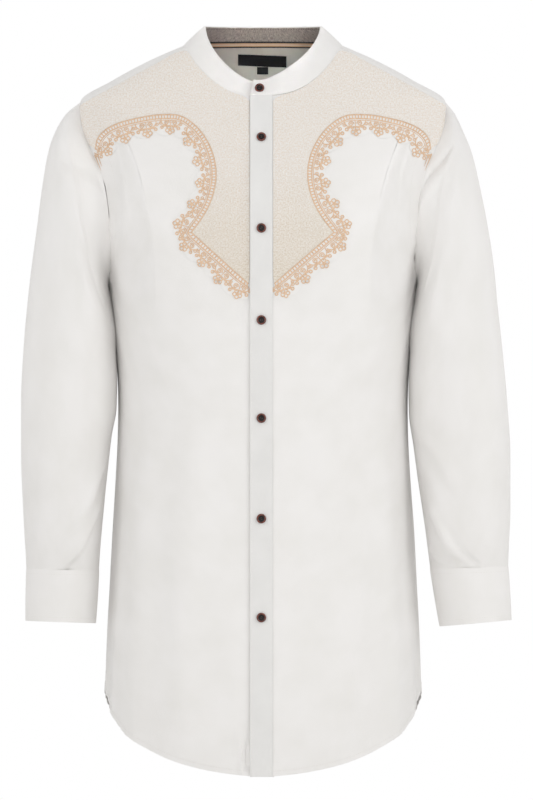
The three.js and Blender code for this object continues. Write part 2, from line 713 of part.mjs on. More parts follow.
const collarSwings = [
  ...steps(grid.neckColumns).map((c) => mix(neckSwing(placket.freeEdge), yokeSeam.neckSwing, c)),
  ...Array.from({ length: yokeColumns }, (_, k) => yokeSwing(k + 1)),
  ...steps(grid.neckColumns).slice(1).map((c) => mix(4 - yokeSeam.neckSwing,
    4 + neckSwing(placket.underEdge), c)),
];

function collarPoint(swing, rise, lift) {
  const seam = bodyAt(neckSeam(swing), 0);
  const top = collarTop(swing);
  const inward = neckInward(swing);
  const standing = collarNormal(swing);
  const out = inward.negate().lerp(standing, smooth(0, 0.4, rise)).normalize();
  return seam.lerp(top, rise).addScaledVector(out, lift);
}

function addCollarLayer(name, outerLift, wall, lowRise, highRise, finish) {
  const rises = steps(collar.rows).map((s) => mix(lowRise, highRise, s));
  const sheet = (lift) => rises.map((rise) => collarSwings.map(
    (swing) => collarPoint(swing, rise, lift + collarLift(swing))));
  const edges = lowRise === 0 ? ["low"] : [];
  addPiece(name, seamedWall(sheet(outerLift), sheet(outerLift - wall), edges), finish);
}

addCollarLayer("collar_band", 0, collar.outerWall, 0, 1, poplinWhite);
addCollarLayer("collar_lining", -collar.outerWall - layerGap, collar.liningWall, 0, 0.985, chambrayGrey);

// The striped tape over the seam inside the back neck
function addNeckTape() {
  const swings = steps(neckTape.pieces).map((s) => mix(neckTape.start, neckTape.end, s));
  const liningFace = -collar.outerWall - layerGap - collar.liningWall - layerGap;
  const sheet = (lift) => [neckTape.low, neckTape.high].map((rise) => swings.map(
    (swing) => collarPoint(swing, rise, lift)));
  const face = sheet(liningFace);
  const back = sheet(liningFace - neckTape.wall);
  addPiece("neck_tape", wallGeometry(face, back), tapeCream);
}

addNeckTape();

// Patches inside the back yoke, under the tape
function addInsidePatch(name, patch) {
  const cos = Math.cos(patch.tilt);
  const sin = Math.sin(patch.tilt);
  const place = (u, v) => {
    const across = (u - 0.5) * patch.width;
    const up = (v - 0.5) * patch.height;
    const z = patch.midZ + up * cos + across * sin;
    return { turn: 2 - turnAt(patch.midX + across * cos, z), z };
  };
  const sheet = (lift) => [0, 1].map((v) => steps(patch.pieces).map((u) => bodyAt(place(u, v), lift)));
  const face = -clothWall - patch.gap;
  addPiece(name, wallGeometry(sheet(face), sheet(face - patch.wall)), labelBlack);
}

addInsidePatch("label", label);
addInsidePatch("size_tab", sizeTab);

// Sleeves and cuffs

function addSleeve(side) {
  const last = sleeveRows.right.length - 1;
  const rings = Array.from({ length: last + 1 }, (_, i) => i);
  const outer = rings.map((ring) => armholeArounds.map((a) => sleevePoint(side, a, ring)));
  const inner = rings.map((ring, i) => armholeArounds.map((a, j) => {
    if (i === last) return cuffPoint(side, a, 0, -clothWall);
    const inward = i === 0 ? armholeInward(side, a) : sleeveNormal(side, a, ring).negate();
    return outer[i][j].clone().addScaledVector(inward, clothWall);
  }));
  const edges = ["low", "high"];
  const name = side > 0 ? "sleeve_left" : "sleeve_right";
  addPiece(name, seamedWall(outer, inner, edges, true), poplinWhite);
}

// Cuff: a strip round the wrist whose outer end laps over the other, behind
function cuffPoint(side, around, drop, lift) {
  const last = sleeveRows.right.length - 1;
  const seam = (side > 0 ? sleeveRows.left : sleeveRows.right)[last];
  const end = side > 0 ? cuffs.left : cuffs.right;
  const row = { outX: mix(seam.outX, end.outX, drop), outZ: mix(seam.outZ, end.outZ, drop),
    inX: mix(seam.inX, end.inX, drop), inZ: mix(seam.inZ, end.inZ, drop),
    front: mix(seam.front, end.depth, drop), back: mix(seam.back, end.depth, drop),
    midY: mix(seam.midY, end.midY, drop) };
  const point = ringPoint(row, around);
  const centre = ringPoint({ ...row, front: 0, back: 0 }, 90);
  return point.addScaledVector(point.clone().sub(centre).setZ(0).normalize(), lift);
}

function cuffLift(travel) {
  return cuffLap.lift * (1 - smooth(cuffLap.length, cuffLap.length + cuffLap.fade, travel));
}

function addCuff(side) {
  const whole = 360 + cuffLap.length;
  const travels = steps(cuffColumns).map((s) => s * whole);
  const sheet = (lift) => steps(cuffRows).map((drop) => travels.map(
    (travel) => cuffPoint(side, cuffLap.start + travel, drop, lift + cuffLift(travel))));
  const name = side > 0 ? "cuff_left" : "cuff_right";
  addPiece(name, seamedWall(sheet(0), sheet(-cuffWall), ["low"]), poplinWhite);
}

// The strip that binds the sleeve's slit, above the cuff and behind, laid on the sleeve's faces
function addSleevePlacket(side) {
  const { column, halfWidth, startRing, endRing, topRings } = sleevePlacket;
  const rings = [...Array.from({ length: topRings }, (_, i) => startRing + i), endRing];
  const sheet = (lift) => rings.map((ring) => [-halfWidth, 0, halfWidth].map((shift) => {
    const middle = armholeArounds[column];
    const next = armholeArounds[column + Math.sign(shift)];
    const above = Math.floor(ring);
    const onColumn = (at) => sleevePoint(side, at, above)
      .lerp(sleevePoint(side, at, above + 1), ring - above);
    const point = onColumn(middle).lerp(onColumn(next), Math.abs(shift));
    return point.addScaledVector(sleeveNormal(side, mix(middle, next, Math.abs(shift)), ring), lift);
  }));
  const name = side > 0 ? "sleeve_placket_left" : "sleeve_placket_right";
  addPiece(name, wallGeometry(sheet(seatGap + clothWall), sheet(seatGap)), poplinWhite);
}

for (const side of [1, -1]) {
  addSleeve(side);
  addCuff(side);
  addSleevePlacket(side);
}

// Chest panels and borders

// The line as a smooth curve on either side of its corner, with its length
function lineCurve(points) {
  return new THREE.CatmullRomCurve3(points.map(({ x, z }) => new THREE.Vector3(x, 0, z)), false,
    "centripetal");
}

const upperLine = lineCurve(borderLine.slice(0, borderCorner + 1));
const lowerLine = lineCurve(borderLine.slice(borderCorner));
const upperLength = upperLine.getLength();
const lowerLength = lowerLine.getLength();
const lineLength = upperLength + lowerLength;

function linePoint(share) {
  const travel = share * lineLength;
  if (travel <= upperLength) return upperLine.getPointAt(travel / upperLength);
  return lowerLine.getPointAt(Math.min(1, (travel - upperLength) / lowerLength));
}

// Direction away from the neck, square to the line, turning evenly past the corner
function lineOut(share) {
  const reach = 0.03;
  const ahead = linePoint(Math.min(1, share + reach));
  const behind = linePoint(Math.max(0, share - reach));
  const step = ahead.sub(behind).normalize();
  const out = new THREE.Vector3(step.z, 0, -step.x);
  out.lerp(new THREE.Vector3(0.5, 0, -0.86), 1 - smooth(0, 0.05, share));
  out.lerp(new THREE.Vector3(0, 0, -1), smooth(0.95, 1, share));
  return out.normalize();
}

// A point laid on a front: x as seen on the right front, kept clear of the placket
function overlayPoint(side, x, z, lift) {
  const edge = side > 0 ? placket.stitchedEdge : placket.freeEdge;
  const limit = side * turnAt(edge + side * chestPanel.placketGap, z);
  const turn = Math.max(limit, -turnAt(x, z));
  return bodyAt({ turn: side * turn, z }, lift + lapRise(side, x));
}

// The chest panel's other edge: down the armhole seam, along the yoke seam, round the neck and
// down the placket
function chestEdge(side) {
  const { edgeInset, armArounds, yokeShares, neckSwings, placketHeights } = chestPanel;
  const edge = [];
  const put = (place, towards) => {
    const p = bodyPoint(place.turn, place.z);
    edge.push({ x: -Math.abs(p.x) + edgeInset * towards.x, z: p.z + edgeInset * towards.z });
  };
  armArounds.forEach((around) => put(armholePlace(around), { x: 1, z: -0.6 }));
  yokeShares.forEach((share) => put(yokeFrontPlace(share), { x: 0, z: -1 }));
  neckSwings.forEach((swing) => put(neckSeam(swing), { x: -0.7, z: -0.9 }));
  const seamX = side > 0 ? placket.stitchedEdge : -placket.freeEdge;
  placketHeights.forEach((z) => edge.push({ x: -seamX - chestPanel.placketGap, z }));
  return lineCurve(edge);
}

// How far a point of the line moves so that both sides end at the placket's edges
function placketShift(side, x) {
  if (side < 0) return 0;
  return (placket.stitchedEdge + placket.freeEdge) * smooth(-120, -20, x);
}

function addChestPanel(side) {
  const edge = chestEdge(side);
  const count = (borderLine.length - 1) * chestPanel.lineSteps;
  const sheet = (lift) => steps(chestPanel.rows).map((v) => steps(count).map((s) => {
    const from = edge.getPointAt(s);
    const to = linePoint(s);
    to.x -= placketShift(side, to.x);
    return overlayPoint(side, mix(from.x, to.x, v), mix(from.z, to.z, v), lift);
  }));
  const name = side > 0 ? "chest_panel_left" : "chest_panel_right";
  addPiece(name, wallGeometry(sheet(overlayGap + overlayWall), sheet(overlayGap)), chestCream);
}

function addBorder(side) {
  const count = border.flowers * border.stepsAFlower;
  const sheet = (lift) => steps(border.rows).map((v) => steps(count).map((s) => {
    const p = linePoint(s);
    p.x -= placketShift(side, p.x);
    const petal = Math.abs(Math.sin(Math.PI * s * border.flowers));
    const reach = border.gap + v * (border.width + border.scallop * petal - border.gap);
    p.addScaledVector(lineOut(s), reach);
    return overlayPoint(side, p.x, p.z, lift);
  }));
  const name = side > 0 ? "border_left" : "border_right";
  addPiece(name, wallGeometry(sheet(overlayGap + borderWall), sheet(overlayGap)), borderPeach);
}

for (const side of [1, -1]) {
  addChestPanel(side);
  addBorder(side);
}

// Buttons

function buttonGeometry() {
  const { radius, thickness, rim, dish, bevel, rimWidth, sides } = button;
  const profile = [
    [0, 0], [radius - bevel, 0], [radius, bevel], [radius, thickness - rim], [radius - 0.9, thickness],
    [radius - rimWidth, thickness - dish], [0, thickness - dish],
  ].map(([r, h]) => new THREE.Vector2(r, h));
  const turned = new THREE.LatheGeometry(profile, sides);
  turned.rotateX(Math.PI / 2);
  return turned;
}

function addButton(name, seat, out) {
  const piece = addPiece(name, buttonGeometry(), buttonBrown);
  piece.quaternion.setFromUnitVectors(new THREE.Vector3(0, 0, 1), out);
  piece.position.copy(seat).addScaledVector(out, button.gap);
}

const placketFace = lapLift + layerGap + clothWall;
const placketMiddle = (placket.freeEdge + placket.stitchedEdge) / 2;

addButton("button_1", collarPoint(collarButton.swing, collarButton.rise, collar.lapLift),
  collarNormal(collarButton.swing));
buttonHeights.forEach((z, k) => {
  const place = { turn: turnAt(placketMiddle, z), z };
  addButton(`button_${k + 2}`, bodyAt(place, placketFace), bodyNormal(place.turn, z));
});
for (const side of [1, -1]) {
  const travel = cuffLap.length / 2;
  const around = cuffLap.start + travel;
  const seat = cuffPoint(side, around, 0.5, cuffLap.lift);
  const across = cuffPoint(side, around + 3, 0.5, 0).sub(cuffPoint(side, around - 3, 0.5, 0));
  const down = cuffPoint(side, around, 0.7, 0).sub(cuffPoint(side, around, 0.3, 0));
  const out = across.cross(down).normalize().multiplyScalar(side);
  addButton(side > 0 ? "cuff_button_left" : "cuff_button_right", seat, out);
}

export default shirt;
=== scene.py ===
import math

import bpy
import numpy as np
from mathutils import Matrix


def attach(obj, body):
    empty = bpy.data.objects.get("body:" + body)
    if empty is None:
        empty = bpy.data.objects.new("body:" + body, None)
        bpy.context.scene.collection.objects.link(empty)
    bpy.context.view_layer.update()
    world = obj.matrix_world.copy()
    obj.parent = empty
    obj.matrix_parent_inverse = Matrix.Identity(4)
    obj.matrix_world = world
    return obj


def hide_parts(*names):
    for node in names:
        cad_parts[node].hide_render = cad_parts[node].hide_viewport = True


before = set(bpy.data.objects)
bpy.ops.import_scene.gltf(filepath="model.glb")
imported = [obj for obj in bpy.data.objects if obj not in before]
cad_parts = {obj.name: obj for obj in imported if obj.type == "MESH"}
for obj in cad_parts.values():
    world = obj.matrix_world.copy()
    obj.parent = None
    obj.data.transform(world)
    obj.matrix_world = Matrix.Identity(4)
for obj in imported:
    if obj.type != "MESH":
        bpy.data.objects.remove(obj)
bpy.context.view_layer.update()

# Sizes are in millimetres until a mesh is made. The front faces -Y and the wearer's left is +X.
# A place on the body is a turn and a height: turn 0 is the middle of the front, 1 the wearer's
# left side, 2 the middle of the back and 3 the right side.
metre = 0.001


def mix(low, high, share):
    return low + (high - low) * share


# 0 below low and 1 above high, with a soft step between
def smooth(low, high, at):
    u = np.clip((at - low) / (high - low), 0, 1)
    return u * u * (3 - 2 * u)


def steps(count):
    return np.linspace(0, 1, count + 1)


def unit(vectors):
    return vectors / np.maximum(np.linalg.norm(vectors, axis=-1, keepdims=True), 1e-9)


# A smooth curve through given values that never swings past them
def readerOf(keys, values):
    keys, values = np.asarray(keys, float), np.asarray(values, float)
    if keys[0] > keys[-1]:
        keys, values = keys[::-1], values[::-1]
    secants = np.diff(values) / np.diff(keys)
    product = secants[:-1] * secants[1:]
    total = np.where(product > 0, secants[:-1] + secants[1:], 1)
    inner = np.where(product > 0, 2 * product / total, 0)
    slopes = np.concatenate([[secants[0]], inner, [secants[-1]]])

    def read(at):
        i = np.clip(np.searchsorted(keys, at, side="right") - 1, 0, len(keys) - 2)
        span = keys[i + 1] - keys[i]
        u = np.clip((at - keys[i]) / span, 0, 1)
        start = values[i] * (2 * u**3 - 3 * u**2 + 1) + slopes[i] * span * (u**3 - 2 * u**2 + u)
        end = values[i + 1] * (3 * u**2 - 2 * u**3) + slopes[i + 1] * span * (u**3 - u**2)
        return start + end

    return read


def readers(names, rows):
    table = np.array(rows, float)
    return {name: readerOf(table[:, 0], table[:, k + 1]) for k, name in enumerate(names)}


# The height of one crease at a distance off its line, fading at both ends
def ridge(off, share, width, depth):
    ends = smooth(0, 0.3, share) * (1 - smooth(0.75, 1, share))
    return depth * ends * np.exp(-((off / width) ** 2))


# Irregular waves between about -1 and 1, so far apart along the cloth
def uneven(travel, pitch, seed):
    return (np.sin(2 * math.pi * travel / pitch + seed)
            + 0.7 * np.sin(2 * math.pi * travel / (pitch * 0.63) + 2.1 * seed)
            + 0.5 * np.sin(2 * math.pi * travel / (pitch * 1.71) + 0.7 * seed)) / 2.2


# The body's half-width, its depth before and behind, and the middle's Y at each height
body = readers(("half", "front", "back", "midY"), [
    (16, 78, 38, 52, 8), (5, 100, 47, 61, 8), (0, 112, 50, 66, 8), (-12, 139, 55, 76, 8),
    (-37, 186, 64, 90, 8), (-65, 228, 77, 101, 8), (-95, 229, 92, 112, 7), (-150, 219, 112, 122, 4),
    (-220, 205, 127, 127, 1), (-290, 191, 132, 128, 0), (-350, 186, 133, 126, 0),
    (-450, 181, 130, 124, 0), (-600, 188, 133, 130, 0), (-750, 196, 138, 136, 0),
    (-906, 201, 142, 141, 0)])
section = {"sidePower": 2.5, "depthPower": 2.2}
foldArc = 285  # cloth in one quarter turn

# Large soft folds: top turn and height, end turn and height, width, depth
bodyFolds = [
    (0.3, -330, 0.33, -960, 24, 3.2), (0.6, -420, 0.64, -980, 22, 4.0),
    (0.84, -480, 0.9, -960, 20, -3.4), (1.25, -300, 1.3, -990, 26, 4.5),
    (1.62, -200, 1.58, -990, 28, 5.0), (1.92, -260, 1.96, -960, 26, -3.6),
    (2.3, -210, 2.36, -990, 28, 4.6), (2.72, -320, 2.7, -980, 24, 4.2),
    (3.14, -470, 3.1, -960, 20, -3.2), (3.42, -400, 3.38, -980, 23, 4.2),
    (3.7, -360, 3.66, -960, 24, 3.4), (0.52, -110, 0.78, -330, 22, 3.6),
    (3.48, -110, 3.22, -330, 22, 3.6)]

# Smaller creases, listed in the same columns
bodyCreases = [
    (0.9, -195, 0.83, -275, 7, -1.8), (0.8, -180, 0.7, -300, 10, 1.5),
    (0.97, -250, 0.78, -345, 8, 1.4), (0.94, -300, 0.7, -420, 11, 1.2),
    (0.62, -330, 0.42, -440, 13, 1.0), (0.09, -296, 0.2, -332, 5, 0.8),
    (0.08, -318, 0.17, -350, 5, -0.6), (0.12, -450, 0.3, -560, 14, 0.8),
    (0.45, -560, 0.4, -760, 15, 1.0), (0.75, -640, 0.8, -880, 14, 1.4),
    (3.08, -160, 3.13, -215, 6, -1.6), (3.14, -150, 3.22, -240, 9, 1.5),
    (3.03, -250, 3.22, -350, 8, 1.5), (3.06, -290, 3.3, -430, 11, 1.2),
    (3.35, -310, 3.56, -430, 13, 1.1), (3.9, -390, 3.74, -500, 12, 0.8),
    (3.6, -540, 3.62, -760, 15, 1.0), (3.24, -620, 3.2, -880, 14, 1.4),
    (3.86, -730, 3.93, -890, 9, 1.0), (1.03, -300, 1.22, -430, 9, 1.4),
    (1.1, -240, 1.35, -380, 12, 1.3), (1.45, -110, 1.4, -330, 14, 1.4),
    (1.74, -130, 1.7, -420, 13, 1.2), (2.08, -110, 2.12, -380, 14, 1.3),
    (2.5, -120, 2.56, -360, 13, 1.4), (2.97, -300, 2.8, -440, 9, 1.4),
    (2.9, -240, 2.64, -390, 12, 1.3), (1.5, -520, 1.44, -850, 14, -1.3),
    (2.14, -560, 2.2, -880, 14, 1.3), (2.5, -500, 2.54, -860, 13, -1.3),
    (1.8, -640, 1.76, -900, 12, 1.2), (1.06, -500, 1.1, -860, 14, 1.2),
    (3.93, -88, 3.932, -330, 5.5, -2.2), (3.911, -312, 3.908, -352, 3.2, -1.4),
    (3.9, -840, 3.93, -925, 3.2, 2.8), (3.918, -835, 3.945, -925, 2.6, -2.4),
    (3.925, -50, 3.94, -80, 3, 0.9),
    (1.0, -255, 0.995, -375, 15, 2.0), (3.0, -255, 3.005, -375, 15, 2.0),
    (3.268, -150, 3.238, -222, 3.5, -1.6), (0.768, -195, 0.782, -272, 3.2, -1.6)]


def raisedBy(folds, turn, z):
    around = np.mod(turn, 4)
    push = np.zeros(np.shape(turn))
    for topTurn, topZ, endTurn, endZ, width, depth in folds:
        share = (topZ - z) / (topZ - endZ)
        push += ridge((around - mix(topTurn, endTurn, share)) * foldArc, share, width, depth)
    return push


def bodyPoint(turn, z):
    turn, z = np.broadcast_arrays(np.asarray(turn, float), np.asarray(z, float))
    across = np.sin(turn * math.pi / 2)
    front = np.cos(turn * math.pi / 2) >= 0
    depth = np.where(front, body["front"](z), body["back"](z))
    reach = np.maximum(0, 1 - np.abs(across) ** section["sidePower"]) ** (1 / section["depthPower"])
    push = raisedBy(bodyFolds, turn, z)
    x = across * (body["half"](z) + push)
    y = body["midY"](z) + np.where(front, -1, 1) * reach * (depth + push)
    return np.stack([x, y, z], -1)


def bodyNormal(turn, z):
    turn, z = np.broadcast_arrays(np.asarray(turn, float), np.asarray(z, float))
    across = bodyPoint(turn + 0.006, z) - bodyPoint(turn - 0.006, z)
    up = bodyPoint(turn, z + 0.8) - bodyPoint(turn, z - 0.8)
    return unit(np.cross(across, up))


# Waves and puckers in millimetres. The back creases more than the front
fineCloth = {"around": 0.22, "aroundPitch": 96, "up": 0.16, "upPitch": 140, "pucker": 0.9,
             "puckerPitch": 13, "puckerFade": 13, "backCreases": 1.6}


# The cloth's own fine shape: creases, slight waviness and the puckers of the hem
def fineShape(turn, z):
    around = np.mod(turn, 4)
    behind = (around > 1) & (around < 3)
    above = z - hemZ(np.where(around > 3, around - 4, around), behind)
    wave = fineCloth["around"] * uneven(around * foldArc + 0.3 * z, fineCloth["aroundPitch"], 1.3)
    wave = wave + fineCloth["up"] * uneven(z, fineCloth["upPitch"], 4.0)
    pucker = uneven(around * foldArc, fineCloth["puckerPitch"], 2.2)
    pucker = pucker * np.exp(-np.maximum(above, 0) / fineCloth["puckerFade"])
    creases = raisedBy(bodyCreases, around, z) * np.where(behind, fineCloth["backCreases"], 1.0)
    return creases + wave + fineCloth["pucker"] * pucker


# A place on the body's cloth, raised along its normal, and that normal
def onBody(turn, z, lift):
    normal = bodyNormal(turn, z)
    return bodyPoint(turn, z) + normal * (lift + fineShape(turn, z))[..., None], normal


def turnAt(x, z):
    return np.arcsin(np.clip(x / body["half"](z), -1, 1)) * 2 / math.pi


# The body's seams, in places on it. Rise is how far the hem climbs from its lowest to the sides
hem = {"centre": -906, "back": -900, "rise": 109, "belly": 1.12, "corner": 8}
chest = {"side": -290, "dip": 60}
neck = {"half": 100, "side": 5, "frontDrop": 64, "backRise": 2, "roundness": 2.6, "droop": 1.1}
armhole = {"top": -65, "bottom": -290, "frontScoop": 0.082, "backScoop": 0.06, "topSharpness": 4.6,
           "lowSharpness": 2.4}
yokeSeam = {"neckSwing": 0.86, "frontAround": 15, "backAround": -38}
placket = {"freeEdge": -16, "stitchedEdge": 12, "underEdge": 14}
lap = {"lift": 1.8, "start": 14, "end": 70}


def hemZ(turn, behind):
    share = np.minimum(1, np.abs(np.where(behind, turn - 2, turn)))
    curve = hem["belly"] * share**2 - (hem["belly"] - 1) * share ** hem["corner"]
    side = hem["centre"] + hem["rise"]
    return np.where(behind, mix(hem["back"], side, curve), mix(hem["centre"], side, curve))


# The line across the chest at which the armholes begin
def chestZ(share):
    return chest["side"] - chest["dip"] * (1 - share**3)


# The neck seam by its own swing: 0 in front, 1 at the left, 2 behind and 3 at the right
def neckSeam(swing):
    swing = np.asarray(swing, float)
    across = np.sin(swing * math.pi / 2)
    behind = np.cos(swing * math.pi / 2) < 0
    opening = np.maximum(0, 1 - np.abs(across) ** neck["roundness"])
    z = np.where(behind, neck["side"] + neck["backRise"] * opening,
                 neck["side"] - neck["frontDrop"] * opening ** neck["droop"])
    base = turnAt(neck["half"] * across, z)
    return np.where(behind, 2 - base, np.where(swing > 2, 4 + base, base)), z


def neckSwing(x):
    return math.asin(x / neck["half"]) * 2 / math.pi


# The left armhole by degrees: 0 at the shoulder, 90 in front, 180 below and -90 behind
def armholePlace(around):
    around = np.asarray(around, float)
    angle = np.radians(around)
    z = mix(armhole["top"], armhole["bottom"], (1 - np.cos(angle)) / 2)
    scoop = np.where(around >= 0, armhole["frontScoop"], armhole["backScoop"])
    sharpness = np.where(np.cos(angle) > 0, armhole["topSharpness"], armhole["lowSharpness"])
    base = np.arcsin(1 - scoop * np.abs(np.sin(angle)) ** sharpness) * 2 / math.pi
    return np.where(around >= 0, base, 2 - base), z


def yokeFrontPlace(share):
    fromTurn, fromZ = neckSeam(yokeSeam["neckSwing"])
    toTurn, toZ = armholePlace(yokeSeam["frontAround"])
    near, far = bodyPoint(fromTurn, fromZ), bodyPoint(toTurn, toZ)
    z = mix(near[2], far[2], share)
    turn = turnAt(mix(near[0], far[0], share), z)
    turn = np.where(share <= 0, fromTurn, np.where(share >= 1, toTurn, turn))
    return turn, z


def mirrored(turn, side):
    return turn if side > 0 else np.mod(4 - turn, 4)


# The left front stands off the right one where it laps over it
def lapRise(side, x):
    return lap["lift"] * (1 - smooth(lap["start"], lap["end"], np.abs(x))) if side > 0 else 0 * x


# Turns an sRGB hex code to linear
def colour(code):
    parts = [int(code[k:k + 2], 16) / 255 for k in (0, 2, 4)]
    return [p / 12.92 if p <= 0.04045 else ((p + 0.055) / 1.055) ** 2.4 for p in parts] + [1]


# Adds a node. Each input is given a value or the output of another node
def addNode(tree, kind, inputs, output=0, **settings):
    node = tree.nodes.new("ShaderNode" + kind)
    for name, value in settings.items():
        setattr(node, name, value)
    for name, value in inputs.items():
        if isinstance(value, bpy.types.NodeSocket):
            tree.links.new(value, node.inputs[name])
        else:
            node.inputs[name].default_value = value
    return node.outputs[output]


# Cloth, thread and resin all keep an IOR of 1.5
def newMaterial(name, look):
    material = bpy.data.materials.new(name)
    material.use_nodes = True
    shader = material.node_tree.nodes["Principled BSDF"]
    shader.inputs["Base Color"].default_value = colour(look["base"])
    shader.inputs["Roughness"].default_value = look["roughness"]
    shader.inputs["Sheen Weight"].default_value = look.get("sheen", 0.0)
    shader.inputs["Sheen Roughness"].default_value = 0.5
    shader.inputs["Specular IOR Level"].default_value = look["specular"]
    shader.inputs["Coat Weight"].default_value = look.get("coat", 0.0)
    shader.inputs["IOR"].default_value = 1.5
    return material, material.node_tree, shader


# The scale of a pattern whose features are so many millimetres wide
def scaleFor(width):
    return 1 / (width * metre)


def clothPlace(tree):
    place = addNode(tree, "UVMap", {}, "UV", uv_map="cloth")
    return (place, addNode(tree, "SeparateXYZ", {"Vector": place}, "X"),
            addNode(tree, "SeparateXYZ", {"Vector": place}, "Y"))


# Ribs so many millimetres apart
def ribsAlong(tree, travel, spacing):
    angle = addNode(tree, "Math", {0: travel, 1: 2 * math.pi * scaleFor(spacing)},
                    operation="MULTIPLY")
    return addNode(tree, "Math", {0: angle}, operation="SINE")


# Height of a plain weave whose threads are so many millimetres apart
def weaveOf(tree, across, up, spacing):
    warp, weft = ribsAlong(tree, across, spacing), ribsAlong(tree, up, spacing)
    return addNode(tree, "Math", {0: warp, 1: weft}, operation="MULTIPLY")


# Goes from one tone to the other while a pattern rises from low to high
def blendTones(tree, pattern, first, second, low=0.0, high=1.0):
    share = addNode(tree, "MapRange", {"Value": pattern, "From Min": low, "From Max": high})
    tones = [colour(tone) if isinstance(tone, str) else tone for tone in (first, second)]
    return addNode(tree, "Mix", {"Factor": share, 6: tones[0], 7: tones[1]}, 2, data_type="RGBA")


# Gives the shader its tone and a relief some millimetres deep
def setSurface(tree, shader, tone, height, relief, strength=1.0):
    bump = addNode(tree, "Bump", {
        "Height": height, "Distance": relief * metre, "Strength": strength})
    tree.links.new(bump, shader.inputs["Normal"])
    if tone:
        tree.links.new(tone, shader.inputs["Base Color"])


# White cotton poplin, woven plain: smooth and bright, with hardly any nap, and faint clouds where
# it was pressed. Real threads are about 0.2 mm apart, too fine to show. They are drawn 0.5 mm apart
poplinLook = {"base": "f4f2f0", "cloudTone": "f0eeeb", "roughness": 0.72, "sheen": 0.12,
              "specular": 0.3, "threads": 0.5, "clouds": 50, "crumple": 18, "crumpleHeight": 6.0,
              "relief": 0.06}
# Two layers let less light through, so the placket looks a little greyer
doubledLook = {**poplinLook, "base": "ecebe9", "cloudTone": "e7e6e4"}
# The yoke's inner face, of the same white cotton, painted slightly darker and yellower than
# the outside as painted shade
shadedLiningLook = {**poplinLook, "base": "f2eee4", "cloudTone": "ebe6da"}


def makePoplin(name, look):
    material, tree, shader = newMaterial(name, look)
    place, across, up = clothPlace(tree)
    clouds = addNode(tree, "TexNoise", {"Vector": place, "Scale": scaleFor(look["clouds"])}, "Fac")
    tone = blendTones(tree, clouds, look["base"], look["cloudTone"], 0.35, 0.7)
    crumple = addNode(tree, "TexNoise", {
        "Vector": place, "Scale": scaleFor(look["crumple"]), "Detail": 3.0}, "Fac")
    crumple = addNode(tree, "Math", {0: crumple, 1: look["crumpleHeight"]}, operation="MULTIPLY")
    height = addNode(tree, "Math", {0: weaveOf(tree, across, up, look["threads"]), 1: crumple},
                     operation="ADD")
    setSurface(tree, shader, tone, height, look["relief"])
    return material


# Cream cotton crepe, crinkled in the weaving: matt and pebbled, with beige in the hollows. Lower
# down, towards the points, it is painted a deeper cream as painted shade along the placket. Its
# threads are drawn 0.7 mm apart, about twice the real, to show
crepeLook = {"base": "f1e7db", "roughness": 0.9, "sheen": 0.12, "specular": 0.15, "pebbles": 1.9,
             "highTones": ("fffcf8", "efe1d1"), "shadedLowTones": ("fdf6ec", "dacab1"),
             "lowest": -260, "highest": -100, "drift": 30, "driftHeight": 80, "threads": 0.7,
             "threadHeight": 0.12, "relief": 1.1}


def makeCrepe(name, look):
    material, tree, shader = newMaterial(name, look)
    place, across, up = clothPlace(tree)
    pebbles = addNode(tree, "TexNoise", {
        "Vector": place, "Scale": scaleFor(look["pebbles"]), "Detail": 3.0,
        "Roughness": 0.7}, "Fac")
    pale = blendTones(tree, pebbles, *look["highTones"], 0.36, 0.7)
    # Painted shade: the deeper tones that the panel takes lower down, by the placket
    deep = blendTones(tree, pebbles, *look["shadedLowTones"], 0.36, 0.7)
    drift = addNode(tree, "TexNoise", {"Vector": place, "Scale": scaleFor(look["drift"])}, "Fac")
    drift = addNode(tree, "Math", {0: drift, 1: look["driftHeight"] * metre}, operation="MULTIPLY")
    lowered = addNode(tree, "Math", {0: up, 1: drift}, operation="ADD")
    # Below lowest the panel takes the painted shade, above highest the pale tones
    tone = blendTones(tree, lowered, deep, pale, look["lowest"] * metre, look["highest"] * metre)
    fine = addNode(tree, "Math", {0: weaveOf(tree, across, up, look["threads"]),
                                  1: look["threadHeight"]}, operation="MULTIPLY")
    height = addNode(tree, "Math", {0: pebbles, 1: fine}, operation="ADD")
    setSurface(tree, shader, tone, height, look["relief"])
    return material


# Slubbed chambray, woven of a pale warp and a taupe weft: dull and streaky, with darker uneven
# threads that run along it. They are drawn 0.7 to 0.8 mm wide, about twice the real, to show. Its
# tones are painted paler than the cloth, as painted light for the shade inside the collar
chambrayLook = {"base": "8f847d", "roughness": 0.85, "sheen": 0.2, "specular": 0.2, "weft": 0.7,
                "weftLength": 0.16, "warp": 0.8, "warpLength": 0.14, "ground": ("b3a59c", "d9cdc3"),
                "slub": "85776f", "threads": 0.8, "relief": 0.12}


def makeChambray(name, look):
    material, tree, shader = newMaterial(name, look)
    place, across, up = clothPlace(tree)
    along = addNode(tree, "Mapping", {"Vector": place, "Scale": (look["weftLength"], 1, 1)})
    upward = addNode(tree, "Mapping", {"Vector": place, "Scale": (1, look["warpLength"], 1)})
    weft = addNode(tree, "TexNoise", {"Vector": along, "Scale": scaleFor(look["weft"])}, "Fac")
    warp = addNode(tree, "TexNoise", {"Vector": upward, "Scale": scaleFor(look["warp"])}, "Fac")
    # Painted light: these tones are paler than the cloth, to brighten the shaded inside of the
    # collar
    ground = blendTones(tree, weft, *look["ground"], 0.4, 0.62)
    tone = blendTones(tree, warp, look["slub"], ground, 0.34, 0.6)
    setSurface(tree, shader, tone, weaveOf(tree, across, up, look["threads"]), look["relief"])
    return material


# Woven tape: a peach ground, paler in the middle, with fine ribs and a black line near each edge.
# Lines and middle are given as shares of its height from the middle
tapeLook = {"base": "ecc9a6", "roughness": 0.7, "sheen": 0.1, "specular": 0.3, "height": 10.7,
            "ground": "e9bd96", "middle": "f6e2cc", "line": "141314", "lineFrom": 0.28,
            "middleTo": 0.09, "ribs": 0.9, "relief": 0.1}


